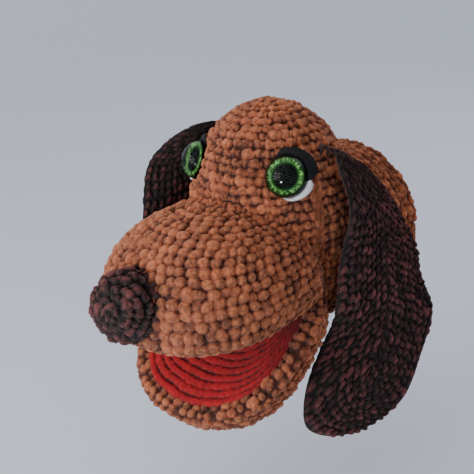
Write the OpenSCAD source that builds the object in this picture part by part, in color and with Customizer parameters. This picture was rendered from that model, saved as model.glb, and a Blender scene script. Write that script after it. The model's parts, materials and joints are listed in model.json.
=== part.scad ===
// Crocheted hound hand puppet: a stuffed head on a wrist sleeve, a hinged jaw and two hanging ears.
// The origin is the centre of the wrist opening. +Y leaves the opening along the arm,
// -Y is toward the nose, +Z is the top of the head and +X is the puppet's left.

/* [Skull] */
// Width of the skull
skull_w = 88; // [80:1:100]
// Length of the skull from forehead to nape
skull_l = 84; // [76:1:96]
// Height of the skull from crown to throat
skull_h = 114; // [100:1:130]
// Distance of the skull's centre in front of the wrist opening
skull_ahead = 73; // [66:1:84]
// Height of the skull's centre above the middle of the wrist opening
skull_up = 24; // [18:1:30]
// Thickness of the crocheted fabric
fabric_t = 4.5; // [3.5:0.5:5.5]

/* [Sleeve] */
// Inside diameter of the rolled wrist edging
opening_d = 76; // [66:1:84]
// Thickness of the rolled wrist edging
edging_t = 8; // [6:0.5:10]
// How much slimmer the sleeve is than its edging, all round
sleeve_in = 1.5; // [0.5:0.5:3]
// Length of the rolled wrist edging
edging_l = 10; // [8:1:14]

/* [Muzzle and jaw] */
// Distance of the mouth hinge in front of the wrist opening
hinge_ahead = 86; // [82:1:98]
// Distance of the mouth hinge below the middle of the wrist opening
hinge_down = 7; // [4:1:10]
// Width of the muzzle and jaw
mouth_w = 100; // [90:1:112]
// Length of the muzzle and jaw in front of the hinge
mouth_l = 88; // [78:1:100]
// Height of the muzzle above the upper lip
muzzle_h = 47; // [42:1:54]
// Depth of the jaw below its rim
jaw_h = 38; // [32:1:44]
// Pitch of the upper lip, front down
lip_pitch = 5; // [0:1:10]
// Opening of the mouth at rest
mouth_open = 31; // [24:1:36]
// How much further the jaw opens from rest
jaw_more = 5; // [2:1:12]
// Thickness of the red mouth lining
lining_t = 2.8; // [2:0.2:3.6]
// Thickness of the rolled lip edging
lip_roll = 5.6; // [4.8:0.2:6.4]

/* [Nose] */
// Diameter of the ball nose
nose_d = 33; // [26:1:38]
// Height of the nose centre above the middle of the wrist opening
nose_up = 6; // [0:1:12]

/* [Eyes] */
// Diameter of the safety eyes
eye_d = 20; // [16:1:24]
// Height of the clear dome
eye_dome_h = 7.5; // [6:0.5:9]
// Sideways distance of each eye from the middle
eye_side = 29.4; // [27:0.2:32]
// Height of the eyes above the skull's centre
eye_up = 26.6; // [24:0.2:29]
// How far each eye looks outward from straight ahead
eye_out = 27; // [20:1:34]
// How far each eye looks up
eye_tilt = 22; // [16:1:28]
// Diameter of the ribbed eye shank
shank_d = 5; // [4:0.5:6]
// Length of the ribbed eye shank
shank_l = 15; // [12:1:18]
// Diameter of the locking washer
washer_d = 17; // [14:1:20]
// Thickness of the felt
felt_t = 1.2; // [1:0.1:1.8]

/* [Ears] */
// Length of each ear
ear_l = 150; // [130:1:164]
// Width of each ear at its widest
ear_w = 86; // [76:1:92]
// Width of each ear at its root
ear_root_w = 38; // [32:1:42]
// Thickness of each ear
ear_t = 5; // [4:0.5:6]
// Distance of each ear's root behind the skull's centre
ear_behind = 10.5; // [4:0.5:16]
// Height of the left ear's root above the skull's centre
left_ear_up = 28; // [24:1:34]
// Height of the right ear's root above the skull's centre
right_ear_up = 40; // [30:1:44]

/* [Hand pocket] */
// Width of the finger space in the muzzle
finger_w = 68; // [60:1:76]
// Height of the finger space in the muzzle
finger_h = 18; // [14:1:20]
// Length of the finger space in front of the hinge
finger_l = 62; // [50:1:70]
// Thickness of the pocket lining
pocket_t = 1.5; // [1:0.5:2]

/* [Hidden] */
big = 400;
gap = 0.4;                          // clearance between soft pieces that move past each other
hinge = [0, -hinge_ahead, -hinge_down];
skull_c = [0, -skull_ahead, skull_up];
edging_d = opening_d + 2 * edging_t;
sleeve_d = edging_d - 2 * sleeve_in;
jaw_pitch = lip_pitch + mouth_open;
hinge_clear = 8;                    // fabric starts this far from the hinge line
plan_a = mouth_w / 2;
plan_front = 50 * mouth_l / 88;     // round front part of the mouth's outline
plan_mid = mouth_l - plan_front;    // the widest place, in front of the hinge
muzzle_back = plan_mid + 8;
jaw_back = plan_mid + 4;
front_power = 2.3;                  // roundness of the outline at the front
back_power = 4;                     // and at the squarer back
jaw_back_angle = 70;                // back plane of the jaw, from its rim
sleeve_cut_angle = jaw_pitch + jaw_back_angle + jaw_more + 5;
sleeve_front = hinge_ahead - 2;
nose_c = [0, -(hinge_ahead + mouth_l - 1), nose_up];
eye_seat = 0.951;                   // 1 would put the eyes' rims on the skull's surface
eye_c = [eye_side, -skull_ahead - skull_front(eye_side, eye_up, eye_seat), skull_up + eye_up];
iris_t = 0.8;
flange_t = 1.6;                     // black moulded flange behind the iris
washer_t = 2.5;
washer_low = -fabric_t - 1.5 - washer_t;
felt_reach = 14;                    // the felt follows the skull this far before and behind an eye
white_shift = [2.4, 3];             // the white crescent sits low and outward
white_rim = 1.4;
white_turn = 52;
lid_shift = [-2.6, 2];              // the lid sits high and outward
lid_rim = 3.2;
lid_turn = 144;
seam_yarn = 1.6;                    // how far seam yarn stands proud of the fabric
stitch_pitch = 6;
stitch_gap = 1.6;
muzzle_seam_low = 14;               // the muzzle's seam ends this far above the lip
nose_stitch = 4.4;                  // width of each stitch round the nose
nose_stitch_turn = 24;              // and the angle from one to the next
ear_seam_yarn = 2.4;
ear_stitch = [12, 3.2, 7];
ear_stitch_pitch = 5;
beside_head = max(skull_w, sleeve_d) / 2;
left_root = [skull_side(left_ear_up) + ear_t / 2 + 3.45, ear_behind - skull_ahead, skull_up + left_ear_up];
right_root = [skull_side(right_ear_up) + ear_t / 2 + 4.39, ear_behind - skull_ahead, skull_up + right_ear_up];
ear_widest = 0.74;                   // share of its length at which an ear is widest
ear_shoulder = 0.6;                  // less than 1 widens it sooner below its root
// How an ear hangs: dip of the sewn edge toward the back, how far the ear faces forward at its root
// and at its tip, how far it stands out, the fold above its root, how far its middle hangs back and
// how far its low end turns forward.
left_hang = [24, -12, 18, beside_head + 3.6 + ear_t / 2 - left_root[0], 0, 20, 24];
right_hang = [8, -12, -14, beside_head + 9 + ear_t / 2 - right_root[0], 6, -12, -4];

yarn = "#c08552";
dark = "#3a1518";
red = "#c8161b";
fill = "#f2efe6";

function spow(x, p) = sign(x) * pow(abs(x), p);
function smooth(x) = let (c = max(0, min(1, x))) c * c * (3 - 2 * c);

// How far in front of its centre the skull's surface is, and how far out it is level with the ears.
function skull_front(x, z, seat) =
    skull_l / 2 * sqrt(seat - pow(2 * x / skull_w, 2) - pow(2 * z / skull_h, 2));
function skull_side(z) =
    skull_w / 2 * sqrt(1 - pow(2 * ear_behind / skull_l, 2) - pow(2 * z / skull_h, 2));

// Mouth outline: round at the front, squarer at the back. 270 degrees is the front.
function plan_point(f, a, front, back) =
    let (p = sin(f) < 0 ? front_power : back_power)
    [a * spow(cos(f), 2 / p), (sin(f) < 0 ? front : back) * spow(sin(f), 2 / p)];

// Closed dome on that outline, flat below, with an inset for its inner form.
module dome(h, back, inset, power = 2.35, seg = 48, rings = 9) {
    a = plan_a - inset;
    front = plan_front - inset;
    rear = back - inset;
    rows = [for (k = [0 : rings - 1]) 90 * (1 - k / rings)];
    pts = concat(
        [for (t = rows) for (j = [0 : seg - 1])
            let (q = plan_point(360 * j / seg, a, front, rear), g = spow(sin(t), 2 / power))
            [q[0] * g, q[1] * g, (h - inset) * spow(cos(t), 2 / power)]],
        [[0, 0, h - inset]]);
    polyhedron(pts, concat(
        [[for (j = [0 : seg - 1]) j]],
        [for (k = [0 : rings - 2]) for (j = [0 : seg - 1])
            let (n = (j + 1) % seg) each [
                [k * seg + j, (k + 1) * seg + j, (k + 1) * seg + n],
                [k * seg + j, (k + 1) * seg + n, k * seg + n]]],
        [for (j = [0 : seg - 1]) [(rings - 1) * seg + j, rings * seg, (rings - 1) * seg + (j + 1) % seg]]));
}

// Merges its children into one soft closed mesh.
module soft() { resize([0, 0, 0]) union() children(); }

module lip_frame() { translate(hinge) rotate([lip_pitch, 0, 0]) children(); }
module jaw_frame() { translate(hinge) rotate([jaw_pitch, 0, 0]) children(); }
module both_halves() { children(); mirror([1, 0, 0]) children(); }

module skull_form(inset) {
    translate(skull_c) scale([skull_w / 2 - inset, skull_l / 2 - inset, skull_h / 2 - inset])
        sphere(1, $fn = 44);
}
module muzzle_form(inset) {
    lip_frame() translate([0, -plan_mid, 0]) dome(muzzle_h, muzzle_back, inset);
}
module jaw_form(inset) {
    jaw_frame() mirror([0, 0, 1]) translate([0, -plan_mid, 0]) dome(jaw_h, jaw_back, inset, 2.2);
}
module tube(d, from, to) {
    translate([0, -from, 0]) rotate([90, 0, 0]) cylinder(d = d, h = to - from, $fn = 64);
}
module nose_form(inset) { translate(nose_c) sphere(nose_d / 2 - inset, $fn = 28); }

// Room for the hand: the palm in the sleeve, tapering to the fingers over the mouth lining.
module hand_space(grow) {
    palm_d = sleeve_d - 2 * fabric_t + 2 * grow;
    tube(palm_d, -1, hinge_ahead / 2);
    hull() {
        tube(palm_d, hinge_ahead / 2 - 1, hinge_ahead / 2);
        translate([0, -hinge_ahead, -6]) scale([finger_w / 2 + grow, 1, finger_h + 4 + grow])
            rotate([90, 0, 0]) cylinder(r = 1, h = 1, $fn = 32);
    }
    lip_frame() translate([0, 0, lining_t]) intersection() {
        hull() for (y = [10, finger_w / 2 - finger_l - grow]) translate([0, y, 0])
            scale([finger_w / 2 + grow, finger_w / 2 + grow, finger_h + grow]) sphere(1, $fn = 32);
        translate([-big, -big, 0]) cube(big * 2);
    }
}

module behind_jaw() {
    jaw_frame() rotate([jaw_back_angle - 90, 0, 0]) translate([-big, 0, -big]) cube(2 * big);
}
module ahead_of_sleeve() {
    translate(hinge) rotate([sleeve_cut_angle - 90, 0, 0]) translate([-big, -2 * big, -2 * big]) cube(2 * big);
}
module hinge_room() {
    translate(hinge) rotate([0, 90, 0]) cylinder(r = hinge_clear, h = big, center = true, $fn = 32);
}

// Rolled edging along the mouth outline, lying wholly on the +Z side of the rim plane.
module lip_edging(back, seg = 44, sides = 8) {
    r = lip_roll / 2;
    clear = asin(spow(min(0.99, (plan_mid - hinge_clear) / back), back_power / 2));
    ring = [for (j = [0 : seg]) let (f = 180 - clear + (180 + 2 * clear) * j / seg)
        plan_point(f, plan_a - r, plan_front - r, back - r)];
    pts = [for (j = [0 : seg])
        let (p = ring[max(0, j - 1)], n = ring[min(seg, j + 1)], d = (n - p) / norm(n - p), c = ring[j])
        for (k = [0 : sides - 1]) let (w = 360 * k / sides)
            [c[0] + d[1] * r * cos(w), c[1] - d[0] * r * cos(w) - plan_mid, r + r * sin(w)]];
    polyhedron(pts, concat(
        [[for (k = [0 : sides - 1]) k]],
        [[for (k = [sides - 1 : -1 : 0]) seg * sides + k]],
        [for (j = [0 : seg - 1]) for (k = [0 : sides - 1]) let (m = (k + 1) % sides) each [
            [j * sides + k, (j + 1) * sides + k, (j + 1) * sides + m],
            [j * sides + k, (j + 1) * sides + m, j * sides + m]]]));
}

module lining_plate(back) {
    inset = lip_roll + 0.2;
    difference() {
        translate([0, -plan_mid, 0]) linear_extrude(lining_t)
            polygon([for (j = [0 : 47])
                plan_point(360 * j / 48, plan_a - inset, plan_front - inset, back - inset)]);
        translate([-big, -hinge_clear, -1]) cube([2 * big, big, big]);
    }
}

// ---- head ----
module skull_cap() {
    color(yarn) soft() difference() {
        skull_form(0);
        skull_form(fabric_t);
        hand_space(pocket_t);
        tube(sleeve_d - 2 * fabric_t, -1, sleeve_front);
        both_halves() eye_frame() {
            cylinder(d = eye_d + gap, h = big / 4, $fn = 32);
            translate([0, 0, -shank_l]) cylinder(d = shank_d + gap, h = shank_l + 1, $fn = 16);
            translate([0, 0, -shank_l])
                cylinder(d = washer_d + gap, h = shank_l + washer_low + washer_t + gap, $fn = 32);
        }
        below_lip();
    }
}

// Everything under the upper lining and in front of the sleeve.
module below_lip() {
    lip_frame() translate([-big, -big, -2 * big]) cube([2 * big, big, 2 * big + lining_t + gap / 2]);
    ahead_of_sleeve();
}

module neck_sleeve() {
    color(yarn) soft() difference() {
        tube(sleeve_d, edging_l, sleeve_front);
        tube(sleeve_d - 2 * fabric_t, 0, hinge_ahead + 1);
        skull_form(0);
        muzzle_form(0);
        ahead_of_sleeve();
    }
}

module cuff_edging() {
    wall = (edging_d - opening_d) / 2;
    round = 3;
    color(yarn) rotate([90, 0, 0]) rotate_extrude($fn = 72) translate([opening_d / 2, 0]) union() {
        square([wall - round, edging_l]);
        translate([0, round]) square([wall, edging_l - 2 * round]);
        for (y = [round, edging_l - round]) translate([wall - round, y]) circle(round, $fn = 32);
    }
}

module muzzle() {
    color(yarn) soft() difference() {
        muzzle_form(0);
        muzzle_form(fabric_t);
        skull_form(0);
        tube(sleeve_d, -1, sleeve_front);
        hand_space(pocket_t);
        lip_frame() translate([-big, -big, -big]) cube([2 * big, 2 * big, big + lip_roll]);
        nose_form(0.01);
    }
}

module upper_lip_edging() { color(yarn) lip_frame() lip_edging(muzzle_back); }
module upper_palate() { color(red) lip_frame() lining_plate(muzzle_back); }

module nose() {
    color(dark) soft() difference() {
        nose_form(0);
        nose_form(fabric_t);
        muzzle_form(0);
        lip_frame() lip_edging(muzzle_back);
    }
}
module nose_stuffing() {
    color(fill) soft() difference() {
        nose_form(fabric_t);
        muzzle_form(0);
    }
}
module muzzle_stuffing() {
    color(fill) soft() difference() {
        muzzle_form(fabric_t);
        skull_form(0);
        hand_space(pocket_t);
        tube(sleeve_d, -1, sleeve_front + 4);
        lip_frame() translate([-big, -big, -big]) cube([2 * big, 2 * big, big + lip_roll]);
    }
}
module skull_stuffing() {
    color(fill) soft() difference() {
        skull_form(fabric_t);
        hand_space(pocket_t);
        tube(sleeve_d - 2 * fabric_t + 2 * pocket_t, -1, hinge_ahead / 2);
        translate([-big, -big, -2 * big]) cube([2 * big, 2 * big, 2 * big + skull_up]);
        both_halves() eye_frame() {
            translate([0, 0, -shank_l]) cylinder(d = shank_d + gap, h = shank_l, $fn = 16);
            translate([0, 0, washer_low - gap]) cylinder(d = washer_d + gap, h = washer_t + 2 * gap, $fn = 24);
        }
    }
}
module pocket_lining() {
    color("#b9b2a4") soft() difference() {
        intersection() {
            hand_space(pocket_t);
            union() {
                skull_form(fabric_t);
                muzzle_form(fabric_t);
            }
        }
        hand_space(0);
        tube(sleeve_d, -1, hinge_ahead / 2);
        lip_frame() translate([-big, -big, -big]) cube([2 * big, 2 * big, big + lip_roll]);
    }
}

// Seam yarn fills the crease where two forms meet, cut into separate stitches.
module stitches(width, pitch) {
    for (x = [-width : pitch : width]) translate([x, -big, -big]) cube([pitch - stitch_gap, 2 * big, 2 * big]);
}
module muzzle_seam() {
    color(yarn) soft() difference() {
        intersection() {
            skull_form(-seam_yarn);
            muzzle_form(-seam_yarn);
            stitches(skull_w / 2 - 2, stitch_pitch);
            lip_frame() translate([-big, -big, muzzle_seam_low]) cube(2 * big);
        }
        skull_form(0);
        muzzle_form(0);
        tube(sleeve_d + 2, -1, sleeve_front + 2);
    }
}
module nose_seam() {
    color(dark) soft() difference() {
        intersection() {
            nose_form(-seam_yarn);
            muzzle_form(-seam_yarn);
            translate(nose_c) rotate([90, 0, 0]) for (w = [0 : nose_stitch_turn : 359]) rotate([0, 0, w])
                translate([0, -nose_stitch / 2, -big]) cube([big, nose_stitch, 2 * big]);
            lip_frame() translate([-big, -big, lip_roll + gap]) cube(2 * big);
        }
        nose_form(0);
        muzzle_form(0);
    }
}

// ---- eyes: local +Z looks out, +X is down the face, +Y is outward ----
module eye_frame() { translate(eye_c) rotate([0, 90 - eye_tilt, eye_out - 90]) children(); }
module eye_dome() {
    cap_r = (pow(eye_d / 2, 2) + pow(eye_dome_h, 2)) / (2 * eye_dome_h);
    color("#dfeee6", 0.5) eye_frame() rotate_extrude($fn = 64) translate([0, flange_t + iris_t]) intersection() {
        translate([0, eye_dome_h - cap_r]) circle(cap_r, $fn = 96);
        square([eye_d, eye_dome_h]);
    }
}
module eye_iris() {
    color("#2f6b2c") eye_frame() translate([0, 0, flange_t]) difference() {
        cylinder(d = eye_d - 1, h = iris_t, $fn = 64);
        translate([0, 0, -1]) cylinder(d = shank_d + 4 + 2 * gap, h = iris_t + 2, $fn = 48);
    }
}
module eye_stem() {
    ribs = 6;
    rib_from = 4;
    color("#141414") eye_frame() {
        cylinder(d = eye_d, h = flange_t, $fn = 64);
        cylinder(d = shank_d + 4, h = flange_t + iris_t, $fn = 48);
        translate([0, 0, -shank_l]) cylinder(d = shank_d - 0.8, h = shank_l + 0.1, $fn = 32);
        for (k = [0 : ribs - 1]) translate([0, 0, -rib_from - k * (shank_l - rib_from) / ribs - 1])
            cylinder(d = shank_d, h = 1, $fn = 32);
    }
}
module eye_washer() {
    color("#1c1c1c") eye_frame() translate([0, 0, washer_low]) difference() {
        cylinder(d = washer_d, h = washer_t, $fn = 48);
        translate([0, 0, -1]) cylinder(d = shank_d + 0.1, h = washer_t + 2, $fn = 32);
    }
}
module felt() {
    soft() difference() {
        intersection() {
            skull_form(-felt_t);
            eye_frame() translate([0, 0, -felt_reach]) linear_extrude(2 * felt_reach) children();
        }
        skull_form(0);
        eye_frame() translate([0, 0, -felt_reach]) cylinder(d = eye_d + gap, h = 3 * felt_reach, $fn = 48);
    }
}
module lid_outline() {
    intersection() {
        translate(lid_shift) circle(eye_d / 2 + lid_rim, $fn = 48);
        rotate(lid_turn) translate([0, -eye_d * 0.75]) square([2 * eye_d, 1.5 * eye_d]);
    }
}
module eye_white() {
    color("white") felt() difference() {
        intersection() {
            translate(white_shift) circle(eye_d / 2 + white_rim, $fn = 48);
            rotate(white_turn) translate([0, -eye_d]) square([2 * eye_d, 2 * eye_d]);
        }
        offset(gap) lid_outline();
    }
}
module eyelid() { color("#101010") felt() lid_outline(); }

// ---- jaw ----
module jaw_shell() {
    color(yarn) soft() difference() {
        jaw_form(0);
        jaw_form(fabric_t);
        behind_jaw();
        hinge_room();
        jaw_frame() translate([-big, -big, -lip_roll]) cube(2 * big);
    }
}
module jaw_edging() { color(yarn) jaw_frame() mirror([0, 0, 1]) lip_edging(jaw_back); }
module lower_palate() { color(red) jaw_frame() mirror([0, 0, 1]) lining_plate(jaw_back); }

// ---- ears ----
function ear_growth(v) = sin(90 * pow(min(1, v / ear_widest), ear_shoulder));
function ear_half(v) =
    let (n = 2.2, a = ear_root_w / 2, b = ear_w / 2)
    v < ear_widest ? a + (b - a) * ear_growth(v)
    : b * pow(1 - pow((v - ear_widest) / (1 - ear_widest), n), 1 / n);
function ear_point(u, v, root, hang) =
    let (y = u * ear_half(v), t = hang[0] * (1 - v), w = hang[1] + (hang[2] - hang[1]) * smooth(v),
         c = hang[5] * ear_growth(v) - hang[6] * smooth((v - 0.56) / 0.36))
    [root[0] + hang[3] * smooth(v / 0.22) + y * cos(t) * sin(w),
     root[1] + c + y * cos(t) * cos(w),
     root[2] - ear_l * v - y * sin(t) + hang[4] * sin(180 * min(1, v / 0.25))];

module ear(root, hang, nu = 12, nv = 22) {
    function face(side) = [for (i = [0 : nv]) for (j = [0 : nu])
        let (u = 2 * j / nu - 1, v = 0.995 * i / nv, thin = sqrt(max(0.12, 1 - pow(abs(u), 6))),
             p = ear_point(u, v, root, hang))
        [p[0] + side * ear_t / 2 * thin, p[1], p[2]]];
    m = nu + 1;
    top = m * (nv + 1);
    rim = concat([for (j = [0 : nu]) j], [for (i = [1 : nv]) i * m + nu],
        [for (j = [nu - 1 : -1 : 0]) nv * m + j], [for (i = [nv - 1 : -1 : 1]) i * m]);
    soft() polyhedron(concat(face(1), face(-1)), concat(
        [for (i = [0 : nv - 1]) for (j = [0 : nu - 1]) let (a = i * m + j, b = a + 1, c = a + m, d = c + 1)
            each [[a, b, d], [a, d, c], [top + a, top + d, top + b], [top + a, top + c, top + d]]],
        [for (k = [0 : len(rim) - 1]) let (a = rim[k], b = rim[(k + 1) % len(rim)])
            each [[b, a, top + a], [b, top + a, top + b]]]));
}
module left_ear() { color(dark) ear(left_root, left_hang); }
module right_ear() { color(dark) mirror([1, 0, 0]) ear(right_root, right_hang); }

// Short stitches between the skull and the root of an ear, outside the root's turning circle.
module ear_seam(root, hang) {
    along_root = [-hang[0], 0, 0];
    soft() difference() {
        intersection() {
            skull_form(-ear_seam_yarn);
            translate(root) rotate([0, 0, -hang[1]]) rotate(along_root)
                for (y = [ear_stitch_pitch - ear_root_w / 2 : ear_stitch_pitch : 6])
                    translate([-ear_stitch[0] - 2, y, 1]) cube(ear_stitch);
        }
        skull_form(0);
        translate(root) rotate([0, 0, -hang[1]]) rotate(along_root) rotate([90, 0, 0])
            cylinder(r = ear_t / 2 + gap, h = big, center = true, $fn = 24);
    }
}

module left_eye_dome() { eye_dome(); }
module left_eye_iris() { eye_iris(); }
module left_eye_stem() { eye_stem(); }
module left_eye_washer() { eye_washer(); }
module left_eye_white() { eye_white(); }
module left_eyelid() { eyelid(); }
module right_eye_dome() { mirror([1, 0, 0]) eye_dome(); }
module right_eye_iris() { mirror([1, 0, 0]) eye_iris(); }
module right_eye_stem() { mirror([1, 0, 0]) eye_stem(); }
module right_eye_washer() { mirror([1, 0, 0]) eye_washer(); }
module right_eye_white() { mirror([1, 0, 0]) eye_white(); }
module right_eyelid() { mirror([1, 0, 0]) eyelid(); }
module left_ear_seam() { color(dark) ear_seam(left_root, left_hang); }
module right_ear_seam() { color(dark) mirror([1, 0, 0]) ear_seam(right_root, right_hang); }

skull_cap();
neck_sleeve();
cuff_edging();
muzzle();
upper_lip_edging();
upper_palate();
nose();
nose_stuffing();
muzzle_stuffing();
skull_stuffing();
pocket_lining();
muzzle_seam();
nose_seam();
left_ear_seam();
right_ear_seam();
left_eye_dome();
left_eye_iris();
left_eye_stem();
left_eye_washer();
left_eye_white();
left_eyelid();
right_eye_dome();
right_eye_iris();
right_eye_stem();
right_eye_washer();
right_eye_white();
right_eyelid();
jaw_shell();
jaw_edging();
lower_palate();
left_ear();
right_ear();
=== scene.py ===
"""Looks of a crocheted hound hand puppet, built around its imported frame."""
import json
import logging
import math
from dataclasses import dataclass
from enum import Enum

import bmesh
import bpy
import numpy as np
from mathutils import Matrix, Vector


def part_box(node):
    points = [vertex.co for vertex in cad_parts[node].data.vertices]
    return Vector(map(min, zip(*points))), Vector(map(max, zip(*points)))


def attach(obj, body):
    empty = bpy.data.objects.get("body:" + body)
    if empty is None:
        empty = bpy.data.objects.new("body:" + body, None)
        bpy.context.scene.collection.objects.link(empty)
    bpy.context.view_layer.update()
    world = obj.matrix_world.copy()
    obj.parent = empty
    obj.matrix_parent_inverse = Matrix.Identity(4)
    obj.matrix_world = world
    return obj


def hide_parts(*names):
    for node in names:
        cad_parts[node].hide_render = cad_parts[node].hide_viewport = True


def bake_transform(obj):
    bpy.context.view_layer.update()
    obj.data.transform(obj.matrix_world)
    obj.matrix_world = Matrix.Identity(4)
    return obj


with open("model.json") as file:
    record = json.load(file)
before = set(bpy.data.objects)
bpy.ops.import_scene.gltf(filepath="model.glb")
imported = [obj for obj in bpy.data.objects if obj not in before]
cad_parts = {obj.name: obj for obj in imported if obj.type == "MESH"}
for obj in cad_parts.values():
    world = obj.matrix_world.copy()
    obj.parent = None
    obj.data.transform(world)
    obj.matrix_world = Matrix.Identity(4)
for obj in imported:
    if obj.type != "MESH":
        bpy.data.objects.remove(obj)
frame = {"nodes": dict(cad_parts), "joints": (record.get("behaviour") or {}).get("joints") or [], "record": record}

LOG = logging.getLogger("puppet")
MM = 0.001
PER_M = 1000.0
TINY = 1e-9
FINE_LUMP, COARSE_LUMP = 1.1, 2.3
TUCK = 0.93
RAY_REACH, HALVINGS = 160.0, 34
Array = np.ndarray


# ---------------------------------------------------------------- arithmetic
def smooth(x: Array) -> Array:
    """Eased step that is 0 below 0 and 1 above 1."""
    x = np.clip(x, 0.0, 1.0)
    return x * x * (3.0 - 2.0 * x)


def hashed(a: Array, b: Array, channel: float) -> Array:
    """Repeatable values from 0 to 1 for pairs of whole numbers."""
    return np.mod(np.sin(a * 127.1 + b * 311.7 + channel * 74.7) * 43758.5453, 1.0)


def noise(points: Array, scale: float, seed: int) -> Array:
    """Smooth noise from -1 to 1.

    Args:
        points: positions in mm, with x, y and z in the last axis.
        scale: size of a lump in mm.
        seed: picks the pattern.

    Returns:
        One value for each point.
    """
    q = points / scale + 512.0
    cell = np.floor(q).astype(np.int64)
    f = smooth(q - cell)
    total = np.zeros(points.shape[:-1])
    for corner in range(8):
        bits = np.array([corner & 1, corner >> 1 & 1, corner >> 2 & 1])
        c = cell + bits
        key = c[..., 0] * 73856093 ^ c[..., 1] * 19349663 ^ c[..., 2] * 83492791 ^ (seed * 7919)
        key = (key ^ key >> 13) * 1274126177 & 0x7FFFFFFF
        weight = np.prod(np.where(bits == 1, f, 1.0 - f), axis=-1)
        total += weight * (key / 0x3FFFFFFF - 1.0)
    return total


def stacked(x: Array, y: Array, z: Array) -> Array:
    """Points from three arrays of coordinates that broadcast together."""
    return np.stack(np.broadcast_arrays(x, y, z), -1)


def sphere_ways(polar: Array, turn: Array) -> Array:
    """Unit vectors at some angles down from +Z and round it, both in radians."""
    return stacked(np.sin(polar) * np.cos(turn), np.sin(polar) * np.sin(turn), np.cos(polar))


def turn_x(points: Array, degrees: float) -> Array:
    """Points turned about the X axis by the right-hand rule."""
    c, s = math.cos(math.radians(degrees)), math.sin(math.radians(degrees))
    return points @ np.array([[1, 0, 0], [0, c, s], [0, -s, c]])


def even_curve(curve: Array, count: int, closed: bool) -> Array:
    """A curve's points spaced evenly along it.

    Args:
        curve: dense points, one per row.
        count: how many points to return.
        closed: whether the last point joins the first.

    Returns:
        The evenly spaced points. A closed curve leaves out the repeated last one.
    """
    if closed:
        curve = np.vstack([curve, curve[:1]])
    length = np.concatenate([[0.0], np.cumsum(np.linalg.norm(np.diff(curve, axis=0), axis=1))])
    at = np.linspace(0.0, length[-1], count, endpoint=not closed)
    return np.stack([np.interp(at, length, curve[:, k]) for k in range(curve.shape[1])], -1)


def grid_normals(grid: Array, closed: bool) -> Array:
    """Unit normals of a grid, with rows in axis 0 and columns in axis 1."""
    along = np.gradient(grid, axis=0)
    if closed:
        across = (np.roll(grid, -1, axis=1) - np.roll(grid, 1, axis=1)) / 2
    else:
        across = np.gradient(grid, axis=1)
    normal = np.cross(across, along)
    size = np.linalg.norm(normal, axis=-1, keepdims=True)
    mean = normal.sum(axis=1, keepdims=True)
    mean /= np.maximum(np.linalg.norm(mean, axis=-1, keepdims=True), TINY)
    return np.where(size > 1e-6, normal / np.maximum(size, TINY), mean)


# ---------------------------------------------------------------- crochet
@dataclass(frozen=True)
class Lobe:
    """One rounded lump of a stitch, in shares of the stitch's cell; lean is in degrees."""

    across: float = 0.0
    along: float = 0.0
    wide: float = 1.0
    tall: float = 1.0
    lean: float = 0.0
    height: float = 1.0
    power: float = 2.0


@dataclass(frozen=True)
class Stitch:
    """One crochet stitch: its cell, how far it stands up and how uneven the hand was."""

    pitch: float
    row: float
    relief: float
    lobes: tuple[Lobe, ...]
    uneven: float = 1.0
    fuzz: float = 0.10
    stagger: float = 0.5
    slant: float = 0.0


BEADS = Stitch(5.3, 4.3, 2.3, (Lobe(wide=1.14, tall=1.22, power=2.2),), 1.35, 0.27, 0.5, 0.0)
BLOCKS = Stitch(5.6, 4.6, 2.3, (
    Lobe(-0.14, 0.02, 0.86, 1.16, 18, 1.0, 2.2),
    Lobe(0.32, -0.06, 0.52, 0.9, -20, 0.84, 2.2)), 1.5, 0.27)
CHUNKS = Stitch(5.6, 4.8, 2.4, (
    Lobe(-0.14, 0.05, 0.80, 1.05, 24, 1.0, 2.2),
    Lobe(0.30, -0.08, 0.50, 0.8, -20, 0.85, 2.0)), 1.7, 0.30)
LOOPS = Stitch(5.2, 5.4, 2.3, (
    Lobe(-0.05, 0.14, 0.95, 0.62, 20, 1.0, 2.2),
    Lobe(0.12, -0.24, 0.80, 0.50, -18, 0.8, 2.0)), 1.8, 0.27)
ROUNDS = Stitch(5.0, 4.4, 2.0, (
    Lobe(-0.10, 0.08, 0.95, 0.70, 22, 1.0, 2.2),
    Lobe(0.16, -0.26, 0.70, 0.50, -10, 0.75, 2.0)), 1.5, 0.25)
BRAID = Stitch(5.4, 3.1, 1.5, (Lobe(wide=1.25, tall=0.98, lean=26, power=2.2),), 0.8, 0.10, 0.35)
HEM = Stitch(5.6, 4.6, 2.2, (Lobe(-0.05, 0.0, 0.95, 1.1, 20, 1.0, 2.2),), 1.6, 0.26, 0.5)
RIBS = Stitch(4.2, 3.1, 1.25, (Lobe(wide=1.5, tall=1.0, power=2.4),), 0.9, 0.10, 0.5)
PURL = Stitch(5.2, 4.6, 1.1, (Lobe(wide=1.3, tall=0.8, power=2.0),), 1.0, 0.10)


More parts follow.
